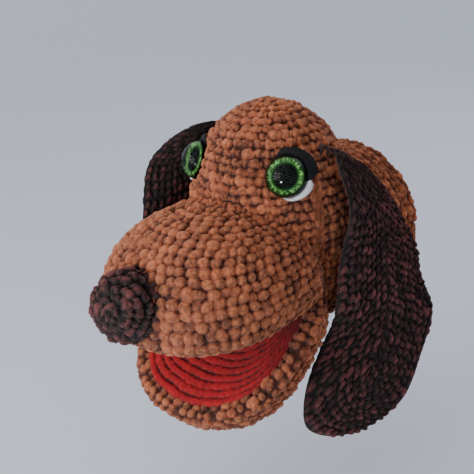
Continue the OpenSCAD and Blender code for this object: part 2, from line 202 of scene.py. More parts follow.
@dataclass
class Lattice:
    """Where each stitch of a cover lies: rows follow the grid's rows, stitches are even along them."""

    level: Array
    tall: Array
    around: Array
    counts: Array
    shares: Array
    closed: bool

    @classmethod
    def over(cls, grid: Array, closed: bool, stitch: Stitch) -> "Lattice":
        """Lays rows and stitches over a grid.

        Args:
            grid: base surface in mm, rows in axis 0.
            closed: whether each row closes into a round.
            stitch: gives the size of a cell.

        Returns:
            The lattice, with a value for each vertex of the grid.
        """
        count_u = grid.shape[1]
        step_v = np.linalg.norm(np.diff(grid, axis=0), axis=-1)
        length_v = np.vstack([np.zeros(count_u), np.cumsum(step_v, axis=0)])
        mean_v = length_v.mean(axis=1)
        rows = max(1, round(mean_v[-1] / stitch.row))
        rho = rows * mean_v / mean_v[-1]
        tall = np.gradient(length_v, axis=0) / np.maximum(np.gradient(rho), TINY)[:, None]
        ring = np.concatenate([grid, grid[:, :1]], axis=1) if closed else grid
        step_u = np.linalg.norm(np.diff(ring, axis=1), axis=-1)
        length_u = np.concatenate([np.zeros((len(grid), 1)), np.cumsum(step_u, axis=1)], axis=1)
        total_u = length_u[:, -1]
        centre = np.array([int(np.abs(rho - r - 0.5).argmin()) for r in range(rows)])
        counts = np.maximum(3, np.round(total_u[centre] / stitch.pitch)).astype(int)
        shares = length_u[centre, :count_u] / np.maximum(total_u[centre], 1e-6)[:, None]
        level = np.broadcast_to(rho[:, None], grid.shape[:2])
        return cls(level, tall, np.broadcast_to(total_u[:, None], grid.shape[:2]), counts, shares, closed)

    def sampled(self, at: Array) -> "Lattice":
        """The lattice at fractional rows of its grid."""
        return Lattice(sample_columns(self.level, at), sample_columns(self.tall, at),
                       sample_columns(self.around, at), self.counts, self.shares, self.closed)

    def relief(self, grid: Array, stitch: Stitch, seed: int) -> tuple[Array, Array]:
        """Height and tint of the stitches over a grid.

        Args:
            grid: the vertices in mm.
            stitch: the stitch to work.
            seed: picks how the hand wandered.

        Returns:
            The height, from 0 in a crease to about 1, and a tint from 0 to 1, one for each stitch.
        """
        rows = len(self.counts)
        wander = 0.16 * stitch.uneven
        level = self.level + wander * noise(grid, 9.0, seed) + 0.5 * wander * noise(grid, 23.0, seed + 1)
        home = np.clip(np.floor(level), 0, rows - 1).astype(int)
        columns = np.arange(grid.shape[1])[None, :]
        drift = wander * noise(grid, 7.0, seed + 2)
        best = np.zeros(grid.shape[:2])
        tint = np.full(grid.shape[:2], 0.5)
        for near_row in (-1, 0, 1):
            row = home + near_row
            valid = (row >= 0) & (row < rows)
            row = np.clip(row, 0, rows - 1)
            number = self.counts[row]
            down = level - row - 0.5
            phase = self.shares[row, columns] * number + stitch.stagger * (row % 2)
            phase = phase + hashed(row, row * 0 + seed, 1.0) + drift + stitch.slant * down
            cell_wide = self.around / number
            size = np.clip(np.minimum(self.tall / stitch.row, cell_wide / stitch.pitch), 0.25, 1.15)
            for near in (-1, 0, 1):
                k = np.floor(phase) + near
                name = np.mod(k, number) if self.closed else k
                side = phase - k - 0.5
                loose = [hashed(name, row + seed * 13, c) - 0.5 for c in (2.0, 3.0, 4.0, 5.0, 6.0)]
                for lobe in stitch.lobes:
                    x = (side - lobe.across - 0.16 * stitch.uneven * loose[0]) * cell_wide
                    y = (down - lobe.along - 0.16 * stitch.uneven * loose[1]) * self.tall
                    lean = np.radians(lobe.lean + 24.0 * stitch.uneven * loose[2])
                    swell = 1.0 + 0.20 * stitch.uneven * loose[3]
                    a = (x * np.cos(lean) + y * np.sin(lean)) / (0.5 * lobe.wide * swell * cell_wide)
                    b = (y * np.cos(lean) - x * np.sin(lean)) / (0.5 * lobe.tall * swell * self.tall)
                    inside = 1.0 - np.abs(a) ** lobe.power - np.abs(b) ** lobe.power
                    height = lobe.height * (1.0 + 0.3 * stitch.uneven * loose[4])
                    height = np.where(valid, height * size * np.sqrt(np.clip(inside, 0, 1)), 0.0)
                    tint = np.where(height > best, loose[3] + 0.5, tint)
                    best = np.maximum(best, height)
        return best, tint


# ---------------------------------------------------------------- meshes
@dataclass
class Skin:
    """A growing mesh: vertices in mm, faces, and two values for each vertex."""

    points: list[Array]
    faces: list[Array]
    crease: list[Array]
    tint: list[Array]
    uv: list[Array]
    count: int = 0

    @classmethod
    def empty(cls) -> "Skin":
        """A mesh with nothing in it."""
        return cls([], [], [], [], [])

    def add_points(self, grid: Array, crease: Array | float, tint: Array | float,
                   band: tuple[float, float]) -> Array:
        """Adds a grid of vertices.

        Args:
            grid: positions in mm.
            crease: how far up its stitch each vertex is, 0 in a crease.
            tint: shade of each vertex's stitch.
            band: lowest and highest V that the grid takes in the UV map.

        Returns:
            The index of each vertex, in the grid's shape.
        """
        rows, cols = grid.shape[:2]
        number = rows * cols
        index = self.count + np.arange(number).reshape(rows, cols)
        self.points.append(grid.reshape(-1, 3))
        self.crease.append(np.broadcast_to(crease, (rows, cols)).reshape(-1))
        self.tint.append(np.broadcast_to(tint, (rows, cols)).reshape(-1))
        u, v = np.meshgrid(np.linspace(0.002, 0.998, cols), np.linspace(*band, rows))
        self.uv.append(np.stack([u, v], -1).reshape(-1, 2))
        self.count += number
        return index

    def add_grid(self, index: Array, closed: bool) -> None:
        """Adds four-sided faces between neighbouring vertices."""
        if closed:
            index = np.concatenate([index, index[:, :1]], axis=1)
        a, b = index[:-1, :-1], index[:-1, 1:]
        c, d = index[1:, 1:], index[1:, :-1]
        self.faces.append(np.stack([a, b, c, d], -1).reshape(-1, 4))

    def add_cap(self, ring: Array, centre: Array) -> None:
        """Closes a ring of vertices with triangles round one point in mm."""
        # The middle point takes a crease value of 0.3, so on yarn it shows partly the painted crease shade.
        middle = self.add_points(centre.reshape(1, 1, 3), 0.3, 0.5, (0.5, 0.5))[0, 0]
        tri = np.stack([ring, np.roll(ring, -1), np.full_like(ring, middle)], -1)
        self.faces.append(np.concatenate([tri, np.full((len(tri), 1), -1)], axis=1))

    def add_bridge(self, fine: Array, marks: Array, coarse: Array, closed: bool) -> None:
        """Joins a fine edge to a coarse edge.

        Args:
            fine: the fine edge's vertices.
            marks: for each coarse vertex, the position along the fine edge that it stands beside.
            coarse: the coarse edge's vertices.
            closed: whether both edges close.
        """
        if closed:
            marks = np.append(marks, len(fine))
            fine, coarse = np.append(fine, fine[0]), np.append(coarse, coarse[0])
        tris = []
        for k in range(len(coarse) - 1):
            tris += [(fine[j], fine[j + 1], coarse[k]) for j in range(marks[k], marks[k + 1])]
            tris.append((fine[marks[k + 1]], coarse[k + 1], coarse[k]))
        tri = np.array(tris)
        self.faces.append(np.concatenate([tri, np.full((len(tri), 1), -1)], axis=1))

    def add_slab(self, top: Array, low: Array, bands: tuple) -> None:
        """Adds a thin sheet: its two faces, each with a band of the UV map, and its edge."""
        faces = [self.add_points(face, 0.8, 0.5, band) for face, band in zip((top, low), bands)]
        for face in faces:
            self.add_grid(face, False)
        for end in (0, -1):
            self.add_grid(np.stack([face[end] for face in faces]), False)
            self.add_grid(np.stack([face[:, end] for face in faces]), False)

    def build(self, name: str, material: bpy.types.Material) -> bpy.types.Object:
        """Makes the Blender object, in metres, smooth shaded, with its attributes and UV map."""
        points = np.concatenate(self.points) * MM
        faces = np.concatenate(self.faces)
        sizes = np.where(faces[:, 3] < 0, 3, 4)
        loops = faces[faces >= 0] if (faces < 0).any() else faces.reshape(-1)
        mesh = bpy.data.meshes.new(name)
        mesh.vertices.add(len(points))
        mesh.vertices.foreach_set("co", points.astype(np.float32).reshape(-1))
        mesh.loops.add(len(loops))
        mesh.loops.foreach_set("vertex_index", loops.astype(np.int32))
        mesh.polygons.add(len(faces))
        starts = np.concatenate([[0], np.cumsum(sizes)[:-1]])
        mesh.polygons.foreach_set("loop_start", starts.astype(np.int32))
        mesh.polygons.foreach_set("loop_total", sizes.astype(np.int32))
        mesh.update(calc_edges=True)
        shape = bmesh.new()
        shape.from_mesh(mesh)
        bmesh.ops.recalc_face_normals(shape, faces=shape.faces)
        shape.to_mesh(mesh)
        shape.free()
        loops = np.empty(len(mesh.loops), np.int32)
        mesh.loops.foreach_get("vertex_index", loops)
        for key, values in (("crease", self.crease), ("tint", self.tint)):
            layer = mesh.attributes.new(key, "FLOAT", "POINT")
            layer.data.foreach_set("value", np.concatenate(values).astype(np.float32))
        uv = np.concatenate(self.uv)[loops]
        mesh.uv_layers.new(name="OFBake").data.foreach_set("uv", uv.astype(np.float32).reshape(-1))
        mesh.shade_smooth()
        piece = bpy.data.objects.new(name, mesh)
        bpy.context.scene.collection.objects.link(piece)
        mesh.materials.append(material)
        return piece


@dataclass
class Crochet:
    """A crocheted cover worked over a base grid, as a closed shell with a plain inner side.

    Columns may begin and end at fractional rows, where another piece takes over.
    """

    grid: Array
    stitch: Stitch
    closed: bool = True
    thickness: float = 4.0
    seed: int = 1
    capped_last: bool = False
    coarse: int = 4
    sink: float = 0.55
    first: Array | None = None
    last: Array | None = None

    def relief(self) -> tuple[Array, Array, Array, Array]:
        """The outer and inner surfaces in mm, and the outer one's crease and tint values."""
        grid, normal = self.grid, grid_normals(self.grid, self.closed)
        lattice = Lattice.over(grid, self.closed, self.stitch)
        rows = len(grid)
        if self.first is not None or self.last is not None:
            first = np.zeros(grid.shape[1]) if self.first is None else self.first
            last = np.full(grid.shape[1], rows - 1.0) if self.last is None else self.last
            at = first[None] + np.linspace(0, 1, rows)[:, None] * (last - first)[None]
            lattice = lattice.sampled(at)
            grid, normal = sample_columns(grid, at), sample_columns(normal, at)
        height, tint = lattice.relief(grid, self.stitch, self.seed)
        lift = self.stitch.relief * (height - self.sink)
        lift = lift + self.stitch.fuzz * noise(grid, FINE_LUMP, self.seed + 5)
        lift = lift + 0.7 * self.stitch.fuzz * noise(grid, COARSE_LUMP, self.seed + 6)
        return grid + normal * lift[..., None], grid - normal * self.thickness, height, tint

    def skin(self) -> Skin:
        """The whole closed shell."""
        outer, inner, height, tint = self.relief()
        skin = Skin.empty()
        top = skin.add_points(outer, height, tint, (0.0, 0.90))
        skin.add_grid(top, self.closed)
        step = self.coarse
        columns = np.arange(0, outer.shape[1], step)
        if not self.closed and columns[-1] != outer.shape[1] - 1:
            columns = np.append(columns, outer.shape[1] - 1)
        rows = np.arange(0, outer.shape[0], step)
        if rows[-1] != outer.shape[0] - 1:
            rows = np.append(rows, outer.shape[0] - 1)
        inner = inner[np.ix_(rows, columns)]
        # The plain inner side takes a low crease value, so on yarn it shows mostly the painted crease shade.
        low = skin.add_points(inner, 0.25, 0.5, (0.92, 1.0))
        skin.add_grid(low, self.closed)
        skin.add_bridge(top[0], columns, low[0], self.closed)
        if self.capped_last:
            skin.add_cap(top[-1], outer[-1].mean(axis=0))
            skin.add_cap(low[-1], inner[-1].mean(axis=0))
        else:
            skin.add_bridge(top[-1], columns, low[-1], self.closed)
        if not self.closed:
            skin.add_bridge(top[:, 0], rows, low[:, 0], False)
            skin.add_bridge(top[:, -1], rows, low[:, -1], False)
        return skin


@dataclass
class Roll:
    """A crocheted roll of yarn along a path; its grid's first and last rows meet on the hidden side."""

    grid: Array
    stitch: Stitch
    closed: bool
    seed: int = 1
    sink: float = 0.6

    def skin(self) -> Skin:
        """The closed roll."""
        lattice = Lattice.over(self.grid, self.closed, self.stitch)
        height, tint = lattice.relief(self.grid, self.stitch, self.seed)
        lift = self.stitch.relief * (height - self.sink)
        lift = lift + self.stitch.fuzz * noise(self.grid, FINE_LUMP, self.seed)
        lift[-1] = lift[0]
        outer = self.grid + grid_normals(self.grid, self.closed) * lift[..., None]
        skin = Skin.empty()
        top = skin.add_points(outer[:-1], height[:-1], tint[:-1], (0.0, 1.0))
        top = np.vstack([top, top[:1]])
        skin.add_grid(top, self.closed)
        if not self.closed:
            skin.add_cap(top[:-1, 0], outer[:-1, 0].mean(axis=0))
            skin.add_cap(top[:-1, -1], outer[:-1, -1].mean(axis=0))
        return skin


# ---------------------------------------------------------------- materials
def links(tree: bpy.types.NodeTree, pairs: list[tuple]) -> None:
    """Connects pairs of output and input sockets."""
    for a, b in pairs:
        tree.links.new(a, b)


def node(tree: bpy.types.NodeTree, kind: str, **values: object) -> bpy.types.Node:
    """Adds a shader node and sets its properties, then its inputs by name.

    Args:
        tree: the node tree.
        kind: the node's type.
        **values: properties, or inputs whose name is given with underscores for spaces.

    Returns:
        The new node.
    """
    n = tree.nodes.new(kind)
    for key, value in values.items():
        if hasattr(n, key):
            setattr(n, key, value)
        else:
            n.inputs[key.replace("_", " ")].default_value = value
    return n


def new_group(name: str, inputs: list[tuple[str, str, object]], outputs: list[tuple[str, str]]) -> tuple:
    """Starts a shader node group with named sockets.

    Args:
        name: the group's name.
        inputs: name, socket type and default of each input.
        outputs: name and socket type of each output.

    Returns:
        The tree, its input node and its output node.
    """
    tree = bpy.data.node_groups.new(name, "ShaderNodeTree")
    for label, kind, default in inputs:
        socket = tree.interface.new_socket(name=label, in_out="INPUT", socket_type=kind)
        socket.default_value = default
    for label, kind in outputs:
        tree.interface.new_socket(name=label, in_out="OUTPUT", socket_type=kind)
    return tree, tree.nodes.new("NodeGroupInput"), tree.nodes.new("NodeGroupOutput")


FLOAT, COLOR, VECTOR = "NodeSocketFloat", "NodeSocketColor", "NodeSocketVector"


def pile_group() -> bpy.types.NodeTree:
    """Colour and height of velvety yarn: painted shade in the creases and painted light on the stitch tops, over a
    mottled pile.
    """
    tree, gin, gout = new_group(
        "yarn pile and painted light",
        [("Painted light tops", COLOR, (0.5, 0.3, 0.2, 1)), ("Body", COLOR, (0.4, 0.2, 0.1, 1)),
         ("Painted shade creases", COLOR, (0.1, 0.05, 0.03, 1)), ("Tint spread", FLOAT, 0.3), ("Pile size", FLOAT, 900.0),
         ("Mottle", FLOAT, 0.35)],
        [("Color", COLOR), ("Roughness", FLOAT), ("Height", FLOAT)])
    crease = node(tree, "ShaderNodeAttribute", attribute_name="crease")
    tint = node(tree, "ShaderNodeAttribute", attribute_name="tint")
    where = node(tree, "ShaderNodeTexCoord")
    fine = node(tree, "ShaderNodeTexNoise", Detail=4.0, Roughness=0.65)
    coarse = node(tree, "ShaderNodeTexNoise", Scale=560.0, Detail=3.0, Roughness=0.6)
    patch = node(tree, "ShaderNodeTexNoise", Scale=38.0, Detail=2.0)
    # Painted shade and light: the crease colour where the stitch height is low, the top colour where it is high.
    low = node(tree, "ShaderNodeMapRange", interpolation_type="SMOOTHSTEP", From_Min=0.08, From_Max=0.62)
    high = node(tree, "ShaderNodeMapRange", interpolation_type="SMOOTHSTEP", From_Min=0.45, From_Max=1.0)
    painted_shade_mix = node(tree, "ShaderNodeMix", data_type="RGBA")
    painted_light_mix = node(tree, "ShaderNodeMix", data_type="RGBA")
    shade = node(tree, "ShaderNodeMapRange", From_Min=0.0, From_Max=1.0, To_Min=-0.5, To_Max=0.5)
    spread = node(tree, "ShaderNodeMath", operation="MULTIPLY")
    grain = node(tree, "ShaderNodeMapRange", From_Min=0.40, From_Max=0.60, To_Min=-0.5, To_Max=0.5)
    grain_by = node(tree, "ShaderNodeMath", operation="MULTIPLY")
    blotch = node(tree, "ShaderNodeMapRange", From_Min=0.3, From_Max=0.7, To_Min=-0.10, To_Max=0.10)
    total = node(tree, "ShaderNodeMath", operation="ADD")
    total2 = node(tree, "ShaderNodeMath", operation="ADD")
    plus = node(tree, "ShaderNodeMath", operation="ADD")
    plus.inputs[1].default_value = 1.0
    hsv = node(tree, "ShaderNodeHueSaturation")
    rough = node(tree, "ShaderNodeMapRange", From_Min=0.3, From_Max=0.7, To_Min=0.78, To_Max=0.98)
    height = node(tree, "ShaderNodeMath", operation="ADD")
    links(tree, [
        (where.outputs["Object"], fine.inputs["Vector"]), (gin.outputs["Pile size"], fine.inputs["Scale"]),
        (where.outputs["Object"], coarse.inputs["Vector"]), (where.outputs["Object"], patch.inputs["Vector"]),
        (crease.outputs["Fac"], low.inputs["Value"]), (crease.outputs["Fac"], high.inputs["Value"]),
        (low.outputs["Result"], painted_shade_mix.inputs["Factor"]), (gin.outputs["Painted shade creases"], painted_shade_mix.inputs["A"]),
        (gin.outputs["Body"], painted_shade_mix.inputs["B"]), (high.outputs["Result"], painted_light_mix.inputs["Factor"]),
        (painted_shade_mix.outputs["Result"], painted_light_mix.inputs["A"]), (gin.outputs["Painted light tops"], painted_light_mix.inputs["B"]),
        (tint.outputs["Fac"], shade.inputs["Value"]), (shade.outputs["Result"], spread.inputs[0]),
        (gin.outputs["Tint spread"], spread.inputs[1]), (coarse.outputs["Fac"], grain.inputs["Value"]),
        (grain.outputs["Result"], grain_by.inputs[0]), (gin.outputs["Mottle"], grain_by.inputs[1]),
        (patch.outputs["Fac"], blotch.inputs["Value"]), (spread.outputs[0], total.inputs[0]),
        (grain_by.outputs[0], total.inputs[1]), (total.outputs[0], total2.inputs[0]),
        (blotch.outputs["Result"], total2.inputs[1]), (total2.outputs[0], plus.inputs[0]),
        (plus.outputs[0], hsv.inputs["Value"]), (painted_light_mix.outputs["Result"], hsv.inputs["Color"]),
        (hsv.outputs["Color"], gout.inputs["Color"]), (fine.outputs["Fac"], rough.inputs["Value"]),
        (rough.outputs["Result"], gout.inputs["Roughness"]), (fine.outputs["Fac"], height.inputs[0]),
        (coarse.outputs["Fac"], height.inputs[1]), (height.outputs[0], gout.inputs["Height"])])
    return tree


def fibre_group() -> bpy.types.NodeTree:
    """Colour and height of short matted fibres, for felt, fill and cloth."""
    tree, gin, gout = new_group(
        "matted fibre",
        [("Base", COLOR, (0.5, 0.5, 0.5, 1)), ("Fibre size", FLOAT, 700.0), ("Contrast", FLOAT, 0.2),
         ("Stretch", VECTOR, (1.0, 1.0, 1.0))],
        [("Color", COLOR), ("Roughness", FLOAT), ("Height", FLOAT)])
    where = node(tree, "ShaderNodeTexCoord")
    scale = node(tree, "ShaderNodeVectorMath", operation="MULTIPLY")
    wool = node(tree, "ShaderNodeTexNoise", Detail=5.0, Roughness=0.7, Distortion=1.2)
    span = node(tree, "ShaderNodeMapRange", From_Min=0.3, From_Max=0.7, To_Min=-0.5, To_Max=0.5)
    by = node(tree, "ShaderNodeMath", operation="MULTIPLY_ADD")
    by.inputs[2].default_value = 1.0
    hsv = node(tree, "ShaderNodeHueSaturation")
    rough = node(tree, "ShaderNodeMapRange", From_Min=0.3, From_Max=0.7, To_Min=0.8, To_Max=1.0)
    links(tree, [
        (where.outputs["Object"], scale.inputs[0]), (gin.outputs["Stretch"], scale.inputs[1]),
        (scale.outputs[0], wool.inputs["Vector"]), (gin.outputs["Fibre size"], wool.inputs["Scale"]),
        (wool.outputs["Fac"], span.inputs["Value"]), (span.outputs["Result"], by.inputs[0]),
        (gin.outputs["Contrast"], by.inputs[1]), (by.outputs[0], hsv.inputs["Value"]),
        (gin.outputs["Base"], hsv.inputs["Color"]), (hsv.outputs["Color"], gout.inputs["Color"]),
        (wool.outputs["Fac"], rough.inputs["Value"]), (rough.outputs["Result"], gout.inputs["Roughness"]),
        (wool.outputs["Fac"], gout.inputs["Height"])])
    return tree


def rgb(r: float, g: float, b: float) -> tuple[float, float, float, float]:
    """An opaque colour."""
    return (r, g, b, 1.0)


@dataclass(frozen=True)
class Finish:
    """A finish that can make its own material."""

    name: str

    def start(self) -> tuple[bpy.types.Material, bpy.types.NodeTree, bpy.types.Node]:
        """A material, its tree and its shader."""
        material = bpy.data.materials.new(self.name)
        material.use_nodes = True
        tree = material.node_tree
        return material, tree, tree.nodes["Principled BSDF"]


@dataclass(frozen=True)
class Yarn(Finish):
    """Velvety chenille yarn, with painted light on its stitch tops and painted shade in its creases."""

    # painted light colour on the stitch tops, the yarn's own body colour, and painted shade colour in the creases
    painted_light_tops: tuple
    body: tuple
    painted_shade_creases: tuple
    spread: float = 0.3
    mottle: float = 0.35
    sheen: float = 0.5
    sheen_tint: tuple = (1.0, 1.0, 1.0, 1.0)
    bump: float = 0.5

    def make(self, group: bpy.types.NodeTree) -> bpy.types.Material:
        """Builds the material round the shared pile group."""
        material, tree, shader = self.start()
        pile = node(tree, "ShaderNodeGroup", node_tree=group)
        for key, value in (("Painted light tops", self.painted_light_tops), ("Body", self.body), ("Painted shade creases", self.painted_shade_creases),
                           ("Tint spread", self.spread), ("Mottle", self.mottle)):
            pile.inputs[key].default_value = value
        bump = node(tree, "ShaderNodeBump", Strength=self.bump, Distance=0.0006)
        shader.inputs["Sheen Weight"].default_value = self.sheen
        shader.inputs["Sheen Roughness"].default_value = 0.45
        shader.inputs["Sheen Tint"].default_value = self.sheen_tint
        shader.inputs["Specular IOR Level"].default_value = 0.25
        links(tree, [(pile.outputs["Color"], shader.inputs["Base Color"]),
                     (pile.outputs["Roughness"], shader.inputs["Roughness"]),
                     (pile.outputs["Height"], bump.inputs["Height"]),
                     (bump.outputs["Normal"], shader.inputs["Normal"])])
        return material


@dataclass(frozen=True)
class Fibre(Finish):
    """Felt, fibre fill or plain cloth."""

    base: tuple
    size: float = 700.0
    contrast: float = 0.2
    stretch: tuple = (1.0, 1.0, 1.0)
    sheen: float = 0.2

    def make(self, group: bpy.types.NodeTree) -> bpy.types.Material:
        """Builds the material round the shared fibre group."""
        material, tree, shader = self.start()
        wool = node(tree, "ShaderNodeGroup", node_tree=group)
        for key, value in (("Base", self.base), ("Fibre size", self.size), ("Contrast", self.contrast),
                           ("Stretch", self.stretch)):
            wool.inputs[key].default_value = value
        bump = node(tree, "ShaderNodeBump", Strength=0.5, Distance=0.0004)
        shader.inputs["Sheen Weight"].default_value = self.sheen
        shader.inputs["Specular IOR Level"].default_value = 0.2
        links(tree, [(wool.outputs["Color"], shader.inputs["Base Color"]),
                     (wool.outputs["Roughness"], shader.inputs["Roughness"]),
                     (wool.outputs["Height"], bump.inputs["Height"]),
                     (bump.outputs["Normal"], shader.inputs["Normal"])])
        return material


@dataclass(frozen=True)
class Plastic(Finish):
    """Moulded plastic with faint flow marks."""

    base: tuple
    roughness: float = 0.2
    shine: float = 0.15

    def make(self) -> bpy.types.Material:
        """Builds the material."""
        material, tree, shader = self.start()
        where = node(tree, "ShaderNodeTexCoord")
        marks = node(tree, "ShaderNodeTexNoise", Scale=420.0, Detail=3.0)
        span = node(tree, "ShaderNodeMapRange", To_Min=self.roughness * 0.7, To_Max=self.roughness * 1.4)
        bump = node(tree, "ShaderNodeBump", Strength=0.04, Distance=0.00005)
        shader.inputs["Base Color"].default_value = self.base
        shader.inputs["Specular IOR Level"].default_value = self.shine
        links(tree, [(where.outputs["Object"], marks.inputs["Vector"]),
                     (marks.outputs["Fac"], span.inputs["Value"]),
                     (span.outputs["Result"], shader.inputs["Roughness"]),
                     (marks.outputs["Fac"], bump.inputs["Height"]),
                     (bump.outputs["Normal"], shader.inputs["Normal"])])
        return material


@dataclass(frozen=True)
class Glass(Finish):
    """Clear moulded plastic."""

    tint: tuple = (0.93, 0.97, 0.94, 1.0)

    def make(self) -> bpy.types.Material:
        """Builds the material."""
        material, tree, shader = self.start()
        where = node(tree, "ShaderNodeTexCoord")
        scuffs = node(tree, "ShaderNodeTexNoise", Scale=300.0, Detail=4.0)
        span = node(tree, "ShaderNodeMapRange", From_Min=0.4, From_Max=0.8, To_Min=0.0, To_Max=0.06)
        shader.inputs["Base Color"].default_value = self.tint
        shader.inputs["Transmission Weight"].default_value = 1.0
        shader.inputs["IOR"].default_value = 1.22
        links(tree, [(where.outputs["Object"], scuffs.inputs["Vector"]),
                     (scuffs.outputs["Fac"], span.inputs["Value"]),
                     (span.outputs["Result"], shader.inputs["Roughness"])])
        return material


@dataclass(frozen=True)
class Iris(Finish):
    """Printed iris under the dome: streaks run out from a black pupil to a dark rim."""

    streak: tuple = (0.26, 0.50, 0.15, 1.0)
    ground: tuple = (0.009, 0.050, 0.008, 1.0)
    dark: tuple = (0.002, 0.006, 0.002, 1.0)

    def make(self) -> bpy.types.Material:
        """Builds the material. The mesh carries the streaks as "tint" and the printed edge as "crease"."""
        material, tree, shader = self.start()
        tint = node(tree, "ShaderNodeAttribute", attribute_name="tint")
        edge = node(tree, "ShaderNodeAttribute", attribute_name="crease")
        where = node(tree, "ShaderNodeTexCoord")
        # Glitter flecks: the flakes are real, and their brighter centres are a painted sparkle on the streaks.
        fleck = node(tree, "ShaderNodeTexVoronoi", Scale=2600.0)
        painted_sparkle = node(tree, "ShaderNodeMapRange", From_Min=0.0, From_Max=0.5, To_Min=1.35, To_Max=0.75)
        bright = node(tree, "ShaderNodeMath", operation="MULTIPLY")
        print_mix = node(tree, "ShaderNodeMix", data_type="RGBA")
        print_mix.inputs["A"].default_value = self.ground
        print_mix.inputs["B"].default_value = self.streak
        rim_mix = node(tree, "ShaderNodeMix", data_type="RGBA")
        rim_mix.inputs["A"].default_value = self.dark
        shader.inputs["Roughness"].default_value = 0.4
        shader.inputs["Specular IOR Level"].default_value = 0.0
        links(tree, [(where.outputs["Object"], fleck.inputs["Vector"]),
                     (fleck.outputs["Distance"], painted_sparkle.inputs["Value"]),
                     (tint.outputs["Fac"], bright.inputs[0]), (painted_sparkle.outputs["Result"], bright.inputs[1]),
                     (bright.outputs[0], print_mix.inputs["Factor"]),
                     (edge.outputs["Fac"], rim_mix.inputs["Factor"]),
                     (print_mix.outputs["Result"], rim_mix.inputs["B"]),
                     (rim_mix.outputs["Result"], shader.inputs["Base Color"])])
        return material


class Wardrobe:
    """Every finish on the puppet, made once and kept by the record's slot names."""

    def __init__(self) -> None:
        """Makes the shared groups and all the materials."""
        pile, fibre = pile_group(), fibre_group()
        # For each yarn: painted light on the stitch tops, the yarn's own body colour, then painted shade in the
        # creases.
        yarns = (
            Yarn("caramel_yarn", rgb(0.35, 0.102, 0.040), rgb(0.215, 0.047, 0.016), rgb(0.060, 0.010, 0.004),
                 spread=0.55, mottle=0.7, sheen=0.3, sheen_tint=rgb(1.0, 0.62, 0.42), bump=0.8),
            Yarn("dark_yarn", rgb(0.085, 0.020, 0.019), rgb(0.014, 0.003, 0.003), rgb(0.002, 0.001, 0.001),
                 spread=1.3, mottle=1.3, sheen=0.22, sheen_tint=rgb(0.9, 0.42, 0.36), bump=0.9),
            Yarn("red_yarn", rgb(0.38, 0.002, 0.006), rgb(0.25, 0.001, 0.004), rgb(0.06, 0.0, 0.001),
                 spread=0.15, mottle=0.3, sheen=0.08, sheen_tint=rgb(1.0, 0.3, 0.3)),
            Yarn("seam_yarn_light", rgb(0.30, 0.085, 0.033), rgb(0.19, 0.042, 0.015),
                 rgb(0.06, 0.010, 0.004), sheen=0.25),
            Yarn("seam_yarn_dark", rgb(0.04, 0.009, 0.009), rgb(0.014, 0.003, 0.003),
                 rgb(0.002, 0.001, 0.001), sheen=0.15))
        fibres = (
            Fibre("fibre_fill", rgb(0.86, 0.84, 0.79), size=260.0, contrast=0.25),
            Fibre("lining_cloth", rgb(0.46, 0.40, 0.31), size=900.0, contrast=0.35, stretch=(1.0, 0.25, 1.0)),
            Fibre("white_felt", rgb(0.78, 0.77, 0.76), size=1100.0, contrast=0.3),
            Fibre("black_felt", rgb(0.004, 0.004, 0.0045), size=1100.0, contrast=0.9, sheen=0.04))
        hard = (
            Glass("clear_plastic"), Iris("green_glitter"),
            Plastic("black_plastic", rgb(0.002, 0.002, 0.002), roughness=0.16, shine=0.0),
            Plastic("washer_plastic", rgb(0.03, 0.03, 0.03), roughness=0.45, shine=0.3))
        self.made = {yarn.name: yarn.make(pile) for yarn in yarns}
        self.made |= {cloth.name: cloth.make(fibre) for cloth in fibres}
        self.made |= {finish.name: finish.make() for finish in hard}

    def dress(self, piece: bpy.types.Object, slot: str, body: str, *replaced: str) -> None:
        """Gives a piece its finish, its slot and its body, and hides the CAD nodes it stands for."""
        if not piece.data.materials:
            piece.data.materials.append(self.made[slot])
        if body:
            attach(piece, body)
        if replaced:
            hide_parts(*replaced)

    def make(self, skin: Skin, name: str, slot: str, body: str, *replaced: str) -> bpy.types.Object:
        """Builds a mesh as a piece, then dresses it."""
        piece = skin.build(name, self.made[slot])
        self.dress(piece, slot, body, *replaced)
        return piece

    def dress_cad(self, name: str, slot: str) -> None:
        """Gives a carried-over CAD node its finish."""
        mesh = frame["nodes"][name].data
        mesh.materials.clear()
        mesh.materials.append(self.made[slot])


# ---------------------------------------------------------------- the puppet's plan
def joint(name: str) -> dict:
    """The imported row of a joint."""
    return next(j for j in frame["joints"] if j["name"] == name)


def joint_place(name: str) -> Array:
    """A joint's place in mm."""
    return np.array(joint(name)["pos_m"]) * PER_M


def low_mm(name: str) -> Array:
    """A CAD node's lowest corner in mm."""
    return np.array(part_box(name)[0]) * PER_M


def high_mm(name: str) -> Array:
    """A CAD node's highest corner in mm."""
    return np.array(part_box(name)[1]) * PER_M


@dataclass
class Plan:
    """Places that several sub-assemblies share, in mm, taken from the frame."""

    hinge: Array
    skull_middle: Array
    skull_half: Array
    mouth_half: float
    mouth_length: float

    lip_pitch: float = 5.0
    jaw_pitch: float = 36.0
    widest_ahead: float = 38.0

    @classmethod
    def read(cls) -> "Plan":
        """Takes the plan from the frame."""
        hinge = joint_place("jaw_hinge")
        low, high = low_mm("skull_cap"), high_mm("skull_cap")
        half = np.array([high[0], 42.0, 57.0])
        middle = np.array([0.0, low[1] + half[1], high[2] - half[2]])
        return cls(hinge, middle, half, high_mm("upper_lip_edging")[0], 88.0)

    def lip(self, points: Array, pitch: float) -> Array:
        """Moves points from a mouth frame, at the hinge and forward along -Y, to the row frame."""
        return turn_x(points, pitch) + self.hinge

    def out_of_lip(self, points: Array, pitch: float) -> Array:
        """Moves points from the row frame to a mouth frame."""
        return turn_x(points - self.hinge, -pitch)

    def skull_share(self, points: Array) -> Array:
        """1 on the skull's surface, less inside it."""
        return np.sqrt((((points - self.skull_middle) / self.skull_half) ** 2).sum(axis=-1))


